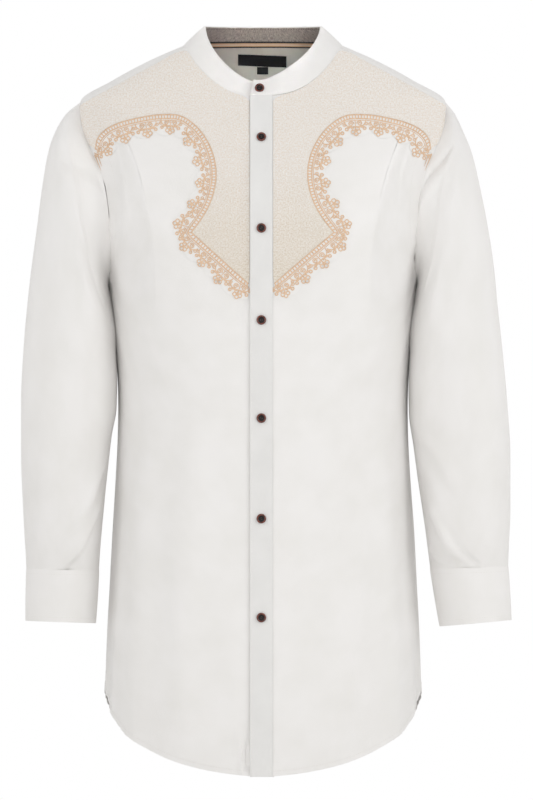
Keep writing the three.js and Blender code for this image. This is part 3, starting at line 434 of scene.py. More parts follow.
def makeTape(name, look):
    material, tree, shader = newMaterial(name, look)
    place, across, up = clothPlace(tree)
    height = look["height"] * metre
    fromMiddle = addNode(tree, "Math", {0: up, 1: height / 2}, operation="SUBTRACT")
    fromMiddle = addNode(tree, "Math", {0: fromMiddle}, operation="ABSOLUTE")
    line = addNode(tree, "Math", {0: fromMiddle, 1: height * look["lineFrom"]},
                   operation="GREATER_THAN")
    middle = addNode(tree, "Math", {0: fromMiddle, 1: height * look["middleTo"]},
                     operation="LESS_THAN")
    ground = blendTones(tree, middle, look["ground"], look["middle"])
    tone = blendTones(tree, line, ground, look["line"])
    setSurface(tree, shader, tone, ribsAlong(tree, across, look["ribs"]), look["relief"])
    return material


# Bare woven satin: dense black, with a faint rib that takes a dull shine
satinLook = {"base": "0f0f11", "roughness": 0.6, "sheen": 0.03, "specular": 0.2, "ribs": 0.6,
             "relief": 0.05}


def makeSatin(name, look):
    material, tree, shader = newMaterial(name, look)
    place, across, up = clothPlace(tree)
    setSurface(tree, shader, None, ribsAlong(tree, up, look["ribs"]), look["relief"])
    return material


# Twisted thread: lustrous, in two near tones, with its fibres as a slight roughness. Rayon shines
# more than cotton. Its fibres are far finer than the 0.4 mm they are drawn at
cottonLook = {"base": "f2f0ed", "dark": "e6e3de", "roughness": 0.6, "sheen": 0.1, "specular": 0.45,
              "tones": 2.2, "toneRange": (0.35, 0.75), "grain": 0.4, "relief": 0.2, "strength": 0.6}
greyLook = {**cottonLook, "base": "4a423e", "dark": "393330"}
rayonLook = {**cottonLook, "base": "e6c8ab", "dark": "d2ae8c", "roughness": 0.5, "sheen": 0.2}

# Cast and polished resin that looks like dark horn: glossy, brown on the rim and nearly black in
# the dish
rimLook = {"base": "74382a", "dark": "4a2219", "roughness": 0.25, "specular": 0.5, "coat": 0.25,
           "tones": 3, "toneRange": (0.4, 0.65), "grain": 4, "relief": 0.05, "strength": 0.3}
dishLook = {**rimLook, "base": "1c1110", "dark": "100a0a", "roughness": 0.34, "specular": 0.2,
            "coat": 0.1}


def makeMottled(name, look):
    material, tree, shader = newMaterial(name, look)
    place = addNode(tree, "TexCoord", {}, "Object")
    tones = addNode(tree, "TexNoise", {"Vector": place, "Scale": scaleFor(look["tones"])}, "Fac")
    grain = addNode(tree, "TexNoise", {"Vector": place, "Scale": scaleFor(look["grain"])}, "Fac")
    tone = blendTones(tree, tones, look["base"], look["dark"], *look["toneRange"])
    setSurface(tree, shader, tone, grain, look["relief"], look["strength"])
    return material


poplin = makePoplin("white cotton poplin", poplinLook)
doubledPoplin = makePoplin("doubled cotton poplin", doubledLook)
# The inner face of the yoke, white cotton in painted shade
shadedYokeLining = makePoplin("white cotton lining, painted shade", shadedLiningLook)
panelCloth = makeCrepe("cream crinkled cotton", crepeLook)
chambray = makeChambray("taupe chambray", chambrayLook)
tapeCloth = makeTape("striped woven tape", tapeLook)
labelCloth = makeSatin("black woven satin", satinLook)
whiteThread = makeMottled("white cotton thread", cottonLook)
darkThread = makeMottled("grey sewing thread", greyLook)
peachThread = makeMottled("peach rayon thread", rayonLook)
brownResin = makeMottled("brown resin rim", rimLook)
blackResin = makeMottled("black resin", dishLook)
print("materials made")


def setUvs(mesh, layer, uvs):
    corners = np.zeros(len(mesh.loops), np.int32)
    mesh.loops.foreach_get("vertex_index", corners)
    layer.data.foreach_set("uv", np.asarray(uvs)[corners].astype(np.float32).ravel())


# Points in millimetres become an object in metres that rides on the shirt
def newObject(name, points, faces, materials, uvs=None, faceMaterials=None, softAngle=50):
    mesh = bpy.data.meshes.new(name)
    mesh.from_pydata((np.asarray(points) * metre).tolist(), [], np.asarray(faces).tolist())
    for material in materials:
        mesh.materials.append(material)
    if faceMaterials is not None:
        mesh.polygons.foreach_set("material_index", np.asarray(faceMaterials, np.int32))
    if uvs is not None:
        setUvs(mesh, mesh.uv_layers.new(name="cloth"), uvs)
    mesh.validate()
    mesh.shade_smooth()
    mesh.set_sharp_from_angle(angle=math.radians(softAngle))
    made = bpy.data.objects.new(name, mesh)
    bpy.context.scene.collection.objects.link(made)
    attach(made, "root")
    return made


def lengthsAlong(points):
    return np.concatenate([[0], np.cumsum(np.linalg.norm(np.diff(points, axis=0), axis=1))])


# A thin closed shell between a grid of points and the same grid moved in by its thickness
def addShell(name, outer, normal, thickness, materials, loop=False):
    rows, columns = outer.shape[:2]
    inner = outer - normal * thickness
    points = np.concatenate([outer.reshape(-1, 3), inner.reshape(-1, 3)])
    half = rows * columns
    across = columns if loop else columns - 1
    i, j = np.meshgrid(np.arange(rows - 1) * columns, np.arange(across), indexing="ij")
    i, j = i.ravel(), j.ravel()
    k = (j + 1) % columns
    quads = np.stack([i + j, i + k, i + columns + k, i + columns + j], 1)
    a, b, c = points[quads[:, 0]], points[quads[:, 1]], points[quads[:, 2]]
    facing = np.sum(np.cross(b - a, c - a) * normal.reshape(-1, 3)[quads[:, 0]])
    if facing < 0:
        quads = quads[:, ::-1]
    edges = np.concatenate([quads[:, [k, (k + 1) % 4]] for k in range(4)])
    low, high = edges.min(1).astype(np.int64), edges.max(1).astype(np.int64)
    _, first, counts = np.unique(low * half + high, return_index=True, return_counts=True)
    rim = edges[first[counts == 1]]
    rimFaces = np.stack([rim[:, 1], rim[:, 0], rim[:, 0] + half, rim[:, 1] + half], 1)
    faces = np.concatenate([quads, quads[:, ::-1] + half, rimFaces])
    kinds = np.concatenate([np.zeros(len(quads)), np.full(len(quads), min(1, len(materials) - 1)),
                            np.zeros(len(rimFaces))])
    u = lengthsAlong(outer[rows // 2]) * metre
    v = lengthsAlong(outer[:, columns // 2]) * metre
    uv = np.stack(np.broadcast_arrays(u[None, :], v[:, None]), -1).reshape(-1, 2)
    return newObject(name, points, faces, materials, np.concatenate([uv, uv]), kinds)


# Many small meshes that become one object
class Gathered:
    def __init__(self):
        self.points, self.faces, self.count = [], [], 0

    def add(self, points, faces):
        self.points.append(points)
        self.faces.append(np.asarray(faces) + self.count)
        self.count += len(points)

    def make(self, name, material):
        points = np.concatenate(self.points)
        faces = np.concatenate(self.faces)
        return newObject(name, points, faces, [material], softAngle=70)


# A round cord along points on a surface, pinched or bulged by radii
def cordOf(points, normals, radii, sides=6, closed=False, flatness=1.0):
    count = len(points)
    ahead = np.roll(points, -1, 0) - np.roll(points, 1, 0)
    if not closed:
        ahead[0], ahead[-1] = points[1] - points[0], points[-1] - points[-2]
    sideways = unit(np.cross(ahead, normals))
    up = unit(np.cross(sideways, ahead))
    angles = 2 * math.pi * np.arange(sides) / sides
    radii = np.broadcast_to(radii, (count,))[:, None, None]
    ring = (np.cos(angles)[None, :, None] * sideways[:, None]
            + flatness * np.sin(angles)[None, :, None] * up[:, None])
    made = (points[:, None] + radii * ring).reshape(-1, 3)
    i, j = np.meshgrid(np.arange(count if closed else count - 1), np.arange(sides), indexing="ij")
    i, j = i.ravel(), j.ravel()
    k, n = (j + 1) % sides, (i + 1) % count
    faces = np.stack([i * sides + j, i * sides + k, n * sides + k, n * sides + j], 1)
    return made, faces


# Stitches 2.5 mm long with gaps of 0.8 mm. The thread is drawn about twice as thick, to show
stitch = {"pitch": 3.3, "length": 2.5, "radius": 0.28}


# Short stitches, each a slim spindle, along a line on the cloth
def addStitches(store, points, normals):
    travel = lengthsAlong(points)
    radius, half = stitch["radius"], stitch["length"] / 2
    count = int(travel[-1] / stitch["pitch"])
    if count < 1:
        return
    middles = (np.arange(count) + 0.5) * travel[-1] / count

    def at(where, data):
        return np.stack([np.interp(where, travel, data[:, k]) for k in range(3)], -1)

    start, end = at(middles - half, points), at(middles + half, points)
    normal = unit(at(middles, normals))
    side = unit(np.cross(end - start, normal))
    profile = [(0, 0.15), (0.22, 1.0), (0.78, 1.0), (1, 0.15)]
    corners = [(1, 0), (0.3, 0.9), (-0.3, 0.9), (-1, 0)]
    rings = []
    for share, swell in profile:
        for across, up in corners:
            rings.append(mix(start, end, share) + radius * swell * (across * side + up * normal)
                         - 0.1 * radius * normal)
    made = np.stack(rings, 1)
    base = np.array([[r * 4 + c, r * 4 + c + 1, (r + 1) * 4 + c + 1, (r + 1) * 4 + c]
                     for r in range(3) for c in range(3)])
    faces = (base[None] + 16 * np.arange(count)[:, None, None]).reshape(-1, 4)
    store.add(made.reshape(-1, 3), faces)


stitching = Gathered()


def dress(piece, nodes):
    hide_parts(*nodes)
    return piece


# The two fronts share an outline. Near a seam the cloth rises over its folded edge, and so does
# the turned-up hem, which is stitched at its top
front = {"neckShare": 7 / 13, "columns": 65, "lowRows": 160, "highRows": 72, "thickness": 0.55,
         "armRaise": 0.5, "armFold": (7, 9), "width": 200, "rowHeight": 4, "hemFold": 8,
         "hemRaise": 0.45, "stitchIn": 1.6, "stitchLift": 0.05}


def frontPlaces(side, edgeX, columns, lowRows, highRows):
    c = steps(columns)[None, :]
    startSwing = side * neckSwing(edgeX)

    def edgeTurn(z):
        return side * turnAt(edgeX, z)

    s = steps(lowRows)[:, None]
    lowZ = mix(hemZ(c, False), chestZ(c), s)
    lowTurn = mix(edgeTurn(lowZ), 1, c)
    share = np.clip(c / front["neckShare"], 0, 1)
    neckTurn, neckZ = neckSeam(mix(startSwing, yokeSeam["neckSwing"], share))
    rest = np.clip((c - front["neckShare"]) / (1 - front["neckShare"]), 0, 1)
    yokeTurn, yokeZ = yokeFrontPlace(rest)
    topTurn = np.where(c <= front["neckShare"], neckTurn, yokeTurn)
    topZ = np.where(c <= front["neckShare"], neckZ, yokeZ)
    s = steps(highRows)[1:, None]
    armTurn, armZ = armholePlace(mix(180, yokeSeam["frontAround"], s))
    startZ = mix(chestZ(0), topZ[:, :1], s)
    startTurn = edgeTurn(startZ)
    bottomTurn = mix(edgeTurn(chestZ(0)), 1, c)
    turn = (mix(bottomTurn, topTurn, s) + mix(startTurn, armTurn, c)
            - mix(bottomTurn, mix(topTurn[:, :1], topTurn[:, -1:], c), s))
    z = (mix(chestZ(c), topZ, s) + mix(startZ, armZ, c)
         - mix(mix(chestZ(0), chestZ(1), c), mix(topZ[:, :1], topZ[:, -1:], c), s))
    return np.concatenate([lowTurn, turn]), np.concatenate([lowZ, z])


def hemRaise(above):
    return front["hemRaise"] * (1 - smooth(front["hemFold"] - 1.2, front["hemFold"], above))


# Stitches along the top of the hem, from the places of its edge
def stitchHem(turn, z, side=0):
    above = front["hemFold"] - front["stitchIn"]
    rise = hemRaise(np.full(len(turn), above)) + front["stitchLift"]
    if side:
        rise = rise + lapRise(side, bodyPoint(turn, z + above)[..., 0])
    addStitches(stitching, *onBody(turn, z + above, rise))


def makeFront(side):
    edgeX = placket["freeEdge"] if side > 0 else placket["underEdge"]
    columns, lowRows, highRows = front["columns"], front["lowRows"], front["highRows"]
    turn, z = frontPlaces(side, edgeX, columns, lowRows, highRows)
    c = np.broadcast_to(steps(columns)[None, :], turn.shape)
    row = np.arange(turn.shape[0])[:, None]
    fromArm = (1 - c) * front["width"] + np.maximum(0, lowRows - row) * front["rowHeight"]
    lift = front["armRaise"] * (1 - smooth(*front["armFold"], fromArm))
    lift = lift + hemRaise(z - hemZ(turn, False))
    turn = mirrored(turn, side)
    lift = lift + lapRise(side, bodyPoint(turn, z)[..., 0])
    points, normals = onBody(turn, z, lift)
    name = "frontLeft" if side > 0 else "frontRight"
    made = addShell(name, points, normals, front["thickness"], [poplin])
    dress(made, ["front_left" if side > 0 else "front_right"])
    armLine = (slice(lowRows, lowRows + highRows), columns - 2)
    seam, out = points[armLine], normals[armLine]
    addStitches(stitching, seam + front["stitchLift"] * out, out)
    stitchHem(np.mod(turn[0], 4), z[0], side)
    return turn, z


leftPlaces = makeFront(1)
rightPlaces = makeFront(-1)
print("fronts made")


# One piece from the hem up to the yoke's seam
back = {"columns": 120, "lowRows": 160, "highRows": 56, "thickness": 0.55, "width": 420}


def makeBack():
    c = steps(back["columns"])[None, :]
    wide = np.abs(2 * c - 1)
    s = steps(back["lowRows"])[:, None]
    lowTurn = np.broadcast_to(mix(1, 3, c), (back["lowRows"] + 1, back["columns"] + 1))
    lowZ = mix(hemZ(lowTurn, True), chestZ(wide), s)
    s = steps(back["highRows"])[1:, None]
    armTurn, armZ = armholePlace(mix(-180, yokeSeam["backAround"], s))
    topZ = armholePlace(yokeSeam["backAround"])[1]
    z = mix(chestZ(wide), topZ, s) + (armZ - mix(chest["side"], topZ, s)) * wide**2
    turn = mix(armTurn, 4 - armTurn, c)
    turn, z = np.concatenate([lowTurn, turn]), np.concatenate([lowZ, z])
    rows = np.arange(turn.shape[0])[:, None]
    fromArm = np.minimum(c, 1 - c) * back["width"]
    fromArm = fromArm + np.maximum(0, back["lowRows"] - rows) * front["rowHeight"]
    lift = front["armRaise"] * (1 - smooth(*front["armFold"], fromArm))
    lift = lift + hemRaise(z - hemZ(turn, True))
    points, normals = onBody(turn, z, lift)
    made = addShell("back", points, normals, back["thickness"], [poplin])
    dress(made, ["back"])
    for column in (2, back["columns"] - 2):
        chosen = slice(back["lowRows"], None)
        addStitches(stitching, points[chosen, column], normals[chosen, column])
    stitchHem(turn[0], z[0])


makeBack()
print("back made")


# The yoke goes over both shoulders, in columns from the left front seam round to the right one.
# Its edges are raised over the folded seams, and it puckers a little under the collar
yoke = {"arm": 5, "back": 20, "fine": 6, "rows": 44, "thickness": 0.55, "raise": 0.6,
        "edge": (8, 12), "columnWidth": 22, "height": 110, "pucker": 0.35, "puckerPitch": 11,
        "puckerStep": 18, "puckerFade": (2, 16), "farOff": 60}
yokeColumns = 2 * yoke["arm"] + yoke["back"]


def yokeSwing(column):
    return mix(yokeSeam["neckSwing"], 4 - yokeSeam["neckSwing"], column / yokeColumns)


def yokeOuterPlace(column):
    arm = yoke["arm"]
    ends = (yokeSeam["frontAround"], yokeSeam["backAround"])
    left = armholePlace(mix(*ends, np.clip(column / arm, 0, 1)))
    right = armholePlace(mix(*ends, np.clip((yokeColumns - column) / arm, 0, 1)))
    corner = armholePlace(yokeSeam["backAround"])
    behind = mix(corner[0], 4 - corner[0], (column - arm) / yoke["back"])
    onLeft, onRight = column <= arm, column >= yokeColumns - arm
    turn = np.where(onLeft, left[0], np.where(onRight, 4 - right[0], behind))
    return turn, np.where(onLeft, left[1], np.where(onRight, right[1], corner[1]))


def makeYoke():
    column = np.linspace(0, yokeColumns, yokeColumns * yoke["fine"] + 1)[None, :]
    v = steps(yoke["rows"])[:, None]
    fromTurn, fromZ = neckSeam(yokeSwing(column))
    toTurn, toZ = yokeOuterPlace(column)
    turn, z = mix(fromTurn, toTurn, v), mix(fromZ, toZ, v)
    for end in (0, yokeColumns):
        seamTurn, seamZ = yokeFrontPlace(v)
        nearTurn, nearZ = neckSeam(yokeSwing(end))
        farTurn, farZ = yokeOuterPlace(np.array(end))
        fade = np.maximum(0, 1 - np.abs(column - end) / 4) ** 2
        turn = turn + fade * ((seamTurn if end == 0 else 4 - seamTurn) - mix(nearTurn, farTurn, v))
        z = z + fade * (seamZ - mix(nearZ, farZ, v))
    fromFront = np.minimum(column, yokeColumns - column) * yoke["columnWidth"]
    inBack = (column > yoke["arm"]) & (column < yokeColumns - yoke["arm"])
    fromBack = np.where(inBack, (1 - v) * yoke["height"], yoke["farOff"])
    lift = yoke["raise"] * (1 - smooth(*yoke["edge"], np.minimum(fromFront, fromBack)))
    pucker = yoke["pucker"] * uneven(column * yoke["puckerStep"], yoke["puckerPitch"], 3.1)
    pucker = pucker * (1 - smooth(*yoke["puckerFade"], v * yoke["height"]))
    points, normals = onBody(turn, z, lift + pucker)
    made = addShell("yoke", points, normals, yoke["thickness"], [poplin, shadedYokeLining])
    dress(made, ["yoke"])
    low = yoke["arm"] * yoke["fine"]
    high = (yokeColumns - yoke["arm"]) * yoke["fine"]
    addStitches(stitching, points[-2, low:high], normals[-2, low:high])
    for line in (1, -2):
        addStitches(stitching, points[:, line], normals[:, line])


makeYoke()
print("yoke made")


# The placket on the left front and the stand under it, which follow the fronts' rows. The cloth
# waves a little along the placket and sinks round each button
strip = {"columns": 14, "thickness": 0.7, "lift": 2.9, "standLift": -1.8, "standDrop": 3,
         "wave": 0.12, "wavePitch": 24, "dimple": 0.7, "dimpleSpread": 150}
buttonHeights = [-111, -224, -338, -460, -585, -708]


def makeStrip(name, node, places, fromX, toX, lift, drop):
    z = places[1][:, :1].copy()
    z[-1] -= drop
    z = np.maximum.accumulate(z, axis=0)
    x = mix(fromX, toX, steps(strip["columns"])[None, :])
    z = np.broadcast_to(z, (len(z), strip["columns"] + 1))
    turn = np.mod(turnAt(x, z), 4)
    wave = strip["wave"] * uneven(z, strip["wavePitch"], 1.0)
    wave = wave * np.sin(math.pi * (x - fromX) / (toX - fromX))
    dimple = sum(np.exp(-((x + 2) ** 2 + (z - height) ** 2) / strip["dimpleSpread"])
                 for height in buttonHeights)
    points, normals = onBody(turn, z, lift + wave - strip["dimple"] * dimple * (lift > 0))
    made = addShell(name, points, normals, strip["thickness"], [doubledPoplin])
    dress(made, [node])
    return points, normals


placketGrid, placketOut = makeStrip("placket", "placket", leftPlaces, placket["freeEdge"],
                                    placket["stitchedEdge"], strip["lift"], 0)
makeStrip("buttonStand", "button_stand", rightPlaces, -placket["underEdge"], placket["underEdge"],
          strip["standLift"], strip["standDrop"])
for line in (1, strip["columns"] - 1):
    addStitches(stitching, placketGrid[:, line], placketOut[:, line])
print("placket made")


# The collar band leans in all round. Its left end laps over the right one in front
collar = {"half": 73, "frontDepth": 50, "backDepth": 38, "midY": 6, "side": 30, "frontDrop": 75,
          "lean": 0.075, "backRise": -0.5, "lapLift": 3.3, "lapFade": 0.62, "peak": 1.3,
          "droop": 0.6, "ease": 0.16, "rows": 14, "lift": 0.3, "thickness": 0.9,
          "liningIn": -1.3, "liningSpan": (0.01, 0.985), "liningThickness": 0.6, "roll": 0.5,
          "belly": 0.3, "ripple": 0.18, "ripplePitch": 46}
collarLength = 110  # cloth in one quarter of its swing


def collarTop(swing):
    across, facing = np.sin(swing * math.pi / 2), np.cos(swing * math.pi / 2)
    leant = across + collar["lean"] * (1 - across**2)
    dipped = np.hypot(leant, collar["ease"]) ** collar["peak"]
    opening = np.maximum(0, 1 - np.where(facing > 0, dipped, across**2))
    y = collar["midY"] - facing * np.where(facing > 0, collar["frontDepth"], collar["backDepth"])
    rise = np.where(facing > 0, -collar["frontDrop"] * opening ** collar["droop"],
                    collar["backRise"] * opening)
    z = collar["side"] + rise
    return np.stack([collar["half"] * across, y, z], -1)


def collarNormal(swing):
    across = bodyPoint(*neckSeam(swing + 0.02)) - bodyPoint(*neckSeam(swing - 0.02))
    up = collarTop(swing) - bodyPoint(*neckSeam(swing))
    return unit(np.cross(across, up))


# A place on the collar: its swing, its rise from the seam (0) to the top (1) and its lift
def collarPoint(swing, rise, lift):
    swing, rise = np.broadcast_arrays(np.asarray(swing, float), np.asarray(rise, float))
    turn, z = neckSeam(swing)
    seam = bodyPoint(turn, z)
    standing = collarNormal(swing)
    inward = -unit(bodyNormal(turn, z) + standing)
    out = unit(mix(-inward, standing, smooth(0, 0.4, rise)[..., None]))
    point = mix(seam, collarTop(swing), rise[..., None])
    return point + out * np.asarray(lift)[..., None], out


def collarLift(swing):
    return collar["lapLift"] * (1 - smooth(0.1, collar["lapFade"], np.abs(swing)))


collarSwings = np.concatenate([
    mix(neckSwing(placket["freeEdge"]), yokeSeam["neckSwing"], steps(40)),
    yokeSwing(np.linspace(0, yokeColumns, 151))[1:],
    mix(4 - yokeSeam["neckSwing"], 4 + neckSwing(placket["underEdge"]), steps(40)[1:])])


def makeCollar():
    rise = steps(collar["rows"])[:, None]
    swing = collarSwings[None, :]
    middle = np.sin(math.pi * rise)
    roll = collar["belly"] * middle - collar["roll"] * (np.abs(rise - 0.5) * 2) ** 4
    ripple = collar["ripple"] * uneven(swing * collarLength, collar["ripplePitch"], 0.4) * middle
    lift = collar["lift"] + roll + ripple + collarLift(swing)
    points, normals = collarPoint(swing, rise, lift)
    made = addShell("collarBand", points, normals, collar["thickness"], [poplin])
    dress(made, ["collar_band"])
    for row in (1, collar["rows"] - 1):
        addStitches(stitching, points[row], normals[row])
    rise = mix(*collar["liningSpan"], rise)
    points, normals = collarPoint(swing, rise, collar["liningIn"] + collarLift(swing) + 0 * rise)
    lining = addShell("collarLining", points, normals, collar["liningThickness"], [chambray])
    dress(lining, ["collar_lining"])
    return points, normals


liningGrid, liningOut = makeCollar()
liningStitches = Gathered()
liningLine = (collar["rows"] - 1, slice(60, 172))
liningSide = (liningGrid - liningOut * (collar["liningThickness"] + 0.05))[liningLine]
addStitches(liningStitches, liningSide, -liningOut[liningLine])
liningStitches.make("liningStitches", darkThread)

# The tape over the neck seam, behind the neck, from shoulder to shoulder
neckTape = {"low": -0.04, "high": 0.3, "start": 1.12, "end": 2.88, "pieces": 110, "thickness": 0.5,
            "in": -2.9, "wave": 0.12, "wavePitch": 30}


def makeTapePiece():
    swing = mix(neckTape["start"], neckTape["end"], steps(neckTape["pieces"]))[None, :]
    rise = mix(neckTape["low"], neckTape["high"], steps(6))[:, None]
    wave = neckTape["wave"] * uneven(swing * collarLength, neckTape["wavePitch"], 2.0)
    points, normals = collarPoint(swing, rise, neckTape["in"] + wave + 0 * rise)
    made = addShell("neckTape", points, normals, neckTape["thickness"], [tapeCloth])
    dress(made, ["neck_tape"])


makeTapePiece()
print("collar made")


# Two bare labels inside the back yoke: middle, tilt in radians, depth under the yoke and sag
labels = {
    "label": {"width": 61, "height": 14, "midX": -1, "midZ": -11, "tilt": -0.04, "pieces": 40,
              "depth": 1.9, "sag": 0.4, "thickness": 0.5},
    "sizeTab": {"width": 14, "height": 9, "midX": -0.5, "midZ": -23.5, "tilt": 0, "pieces": 8,
                "depth": 1.6, "sag": 0.2, "thickness": 0.5}}


def makeLabel(name, node):
    patch = labels[name]
    u, v = np.meshgrid(steps(patch["pieces"]), steps(8))
    across, up = (u - 0.5) * patch["width"], (v - 0.5) * patch["height"]
    level, tilted = math.cos(patch["tilt"]), math.sin(patch["tilt"])
    z = patch["midZ"] + up * level + across * tilted
    turn = 2 - turnAt(patch["midX"] + across * level, z)
    sag = patch["sag"] * np.sin(math.pi * u) * (1 - v)
    points, normals = onBody(turn, z, -patch["depth"] - sag)
    made = addShell(name, points, normals, patch["thickness"], [labelCloth])
    dress(made, [node])


makeLabel("label", "label")
makeLabel("sizeTab", "size_tab")
print("labels made")


# Each ring of a sleeve: its outer and inner points, its depth before and behind, its middle's Y
sleeveNames = ("outX", "outZ", "inX", "inZ", "front", "back", "midY")
sleeves = {
    -1: readers(sleeveNames, [
        (0, -228, -65, -192, -290, 55, 48, 2), (1, -246, -80, -194, -298, 60, 54, 0),
        (2, -259, -101, -192.5, -310, 63, 58, -3), (3, -268, -126, -189.5, -326, 65, 60, -7),
        (4, -275, -166, -186.2, -344, 65, 61, -12), (5, -281, -212, -184.2, -365, 64, 61, -17),
        (6, -287, -260, -182.9, -388, 62, 59, -21), (7, -294, -315, -182.0, -415, 59, 57, -24),
        (8, -299, -375, -182.6, -447, 56, 54, -26), (9, -302, -440, -189, -484, 53, 51, -27),
        (10, -302, -505, -194, -527, 50, 48, -28), (11, -300, -565, -199, -577, 47, 46, -29),
        (12, -297, -618, -203, -622, 44, 44, -30), (13, -295, -648, -205, -650, 38, 38, -30)]),
    1: readers(sleeveNames, [
        (0, 228, -65, 190, -290, 55, 48, 2), (1, 240, -80, 192.5, -298, 60, 54, 0),
        (2, 250, -101, 191.8, -310, 63, 58, -3), (3, 260, -126, 189, -326, 65, 60, -7),
        (4, 270, -166, 185.9, -344, 65, 61, -12), (5, 279, -212, 183.9, -368, 64, 61, -17),
        (6, 286.5, -260, 182.5, -393, 62, 59, -21), (7, 292.5, -315, 181.6, -422, 59, 57, -24),
        (8, 299, -375, 182.4, -455, 56, 54, -26), (9, 305, -440, 187.5, -492, 53, 51, -27),
        (10, 309, -505, 193.5, -538, 50, 48, -28), (11, 309, -568, 201, -588, 47, 46, -29),
        (12, 307, -618, 206, -626, 44, 44, -30), (13, 306, -645, 209, -648, 38, 38, -30)])}
sleeve = {"rings": 13, "fineRings": 156, "fineArounds": 96, "arc": 0.95, "seamFade": 4,
          "thickness": 0.55, "wave": 0.2, "wavePitch": 60, "gather": 0.45, "gatherPitch": 12,
          "gatherFade": 3.2}

# Sleeve folds: top around and ring, end around and ring, width, depth. Around is in degrees: 0 at
# the outside, 90 in front, 180 inside and 270 behind. A sleeve's arc turns it into millimetres
sleeveFolds = [
    (60, 1.5, 120, 5.5, 20, 3.5), (125, 3, 70, 8, 24, 3.0), (100, 7, 150, 11, 22, -3.0),
    (150, 9, 110, 13, 14, 3.2), (240, 3, 290, 8, 24, 3.4), (290, 8, 230, 12.5, 20, -3.2)]
sleeveCreases = {
    -1: [(176, 0.4, 176, 5.6, 16, 3.0), (22, 2.9, 74, -0.8, 12, 3.0), (38, 2.9, 98, -0.8, 5, -3.2),
         (35, 0.8, 112, 3.4, 11, 2.0), (75, 1.8, 140, 4.4, 9, -1.6), (140, 5.2, 80, 8.5, 12, 1.3),
         (172, 9.4, 96, 11.8, 7, 2.6), (164, 10.4, 98, 12.9, 5, 2.8),
         (152, 10.9, 92, 13.3, 5, -2.6), (60, 10.8, 30, 12.9, 10, 1.0),
         (200, 4.5, 260, 7.5, 12, 1.6), (195, 8.2, 250, 10.8, 12, 1.5),
         (320, 2, 350, 7, 16, 1.3), (230, 11, 275, 12.9, 9, 1.4)],
    1: [(176, 0.4, 176, 5.6, 16, 3.0), (44, 1.6, 94, -0.3, 5, -3.4), (60, 1.7, 108, -0.3, 8, 2.2),
        (60, 1.4, 118, 3.4, 8, -1.2), (52, 1.0, 130, 3.8, 10, 2.2), (128, 4.6, 84, 7.8, 12, 1.4),
        (160, 8.4, 90, 10.8, 9, 2.0), (156, 10.2, 96, 12.8, 6, 2.6), (130, 10.9, 72, 13.2, 6, -2.4),
        (172, 11.6, 130, 12.9, 7, 1.5), (205, 4.8, 262, 7.8, 12, 1.6), (198, 8.6, 250, 11, 12, 1.5),
        (322, 2.4, 348, 7.4, 16, 1.3), (232, 11, 276, 12.9, 9, 1.4)]}


def ringPoint(row, around, flat=False):
    angle = np.radians(around)
    share = (1 - np.cos(angle)) / 2
    facing = np.sin(angle)
    depth = 0 if flat else np.where(facing > 0, row["front"], row["back"])
    return np.stack(np.broadcast_arrays(
        mix(row["outX"], row["inX"], share), row["midY"] - facing * depth,
        mix(row["outZ"], row["inZ"], share)), -1)


def creasesAt(folds, around, ring, arc):
    push = np.zeros(np.broadcast(around, ring).shape)
    for topAround, topRing, endAround, endRing, width, depth in folds:
        share = (ring - topRing) / (endRing - topRing)
        off = (np.mod(around, 360) - mix(topAround, endAround, share)) * arc
        push = push + ridge(off, share, width, depth)
    return push


def sleevePoint(side, around, ring):
    around, ring = np.broadcast_arrays(np.asarray(around, float), np.asarray(ring, float))
    row = {name: read(ring) for name, read in sleeves[side].items()}
    point = ringPoint(row, around)
    centre = ringPoint(row, np.full(around.shape, 90.0), flat=True)
    push = creasesAt(sleeveFolds, around, ring, sleeve["arc"])
    point = point + unit(point - centre) * push[..., None]
    signed = np.mod(around + 180, 360) - 180
    signed = np.where((signed == -180) & (around > 0), 180, signed)
    turn, z = armholePlace(signed)
    seam = bodyPoint(mirrored(turn, side), z)
    start = {name: read(0.0) for name, read in sleeves[side].items()}
    fade = np.maximum(0, 1 - ring / sleeve["seamFade"]) ** 2
    return point + (seam - ringPoint(start, around)) * fade[..., None]


def sleeveNormal(side, around, ring):
    low = np.maximum(0, ring - 0.05)
    high = np.minimum(sleeve["rings"], np.maximum(ring + 0.05, 0.3))
    down = sleevePoint(side, around, high) - sleevePoint(side, around, low)
    across = sleevePoint(side, around + 2, ring) - sleevePoint(side, around - 2, ring)
    return unit(np.cross(across, down)) * side


def onSleeve(side, around, ring, lift):
    around, ring = np.broadcast_arrays(np.asarray(around, float), np.asarray(ring, float))
    normal = sleeveNormal(side, around, ring)
    fine = creasesAt(sleeveCreases[side], around, ring, sleeve["arc"]) * smooth(0, 0.25, ring)
    wave = sleeve["wave"] * uneven(around * 0.9 + 14 * ring, sleeve["wavePitch"], 2.0 + side)
    gather = sleeve["gather"] * uneven(around * 0.8, sleeve["gatherPitch"], 1.1 + side)
    fromCuff = (sleeve["rings"] - ring) * sleeve["gatherFade"]
    fine = fine + wave * smooth(0, 1, ring) + gather * np.exp(-fromCuff)
    return sleevePoint(side, around, ring) + normal * (lift + fine)[..., None], normal


# The lower ring of each cuff, a strip round the wrist whose outer end laps over the other, behind.
# A soft ridge stands at 95 degrees, where the cuff was folded flat
cuffs = {
    -1: {"outX": -296, "outZ": -713, "inX": -209, "inZ": -716, "front": 36, "back": 36,
         "midY": -31},
    1: {"outX": 310, "outZ": -712, "inX": 221, "inZ": -720, "front": 36, "back": 36,
        "midY": -31}}
cuff = {"start": 245, "lap": 22, "lift": 2.6, "fade": 40, "thickness": 1.1, "rows": 22,
        "columns": 130, "swell": 0.5, "wave": 0.15, "wavePitch": 40, "ridge": 1.8,
        "ridgeAround": 360 + 95, "ridgeWidth": 17}


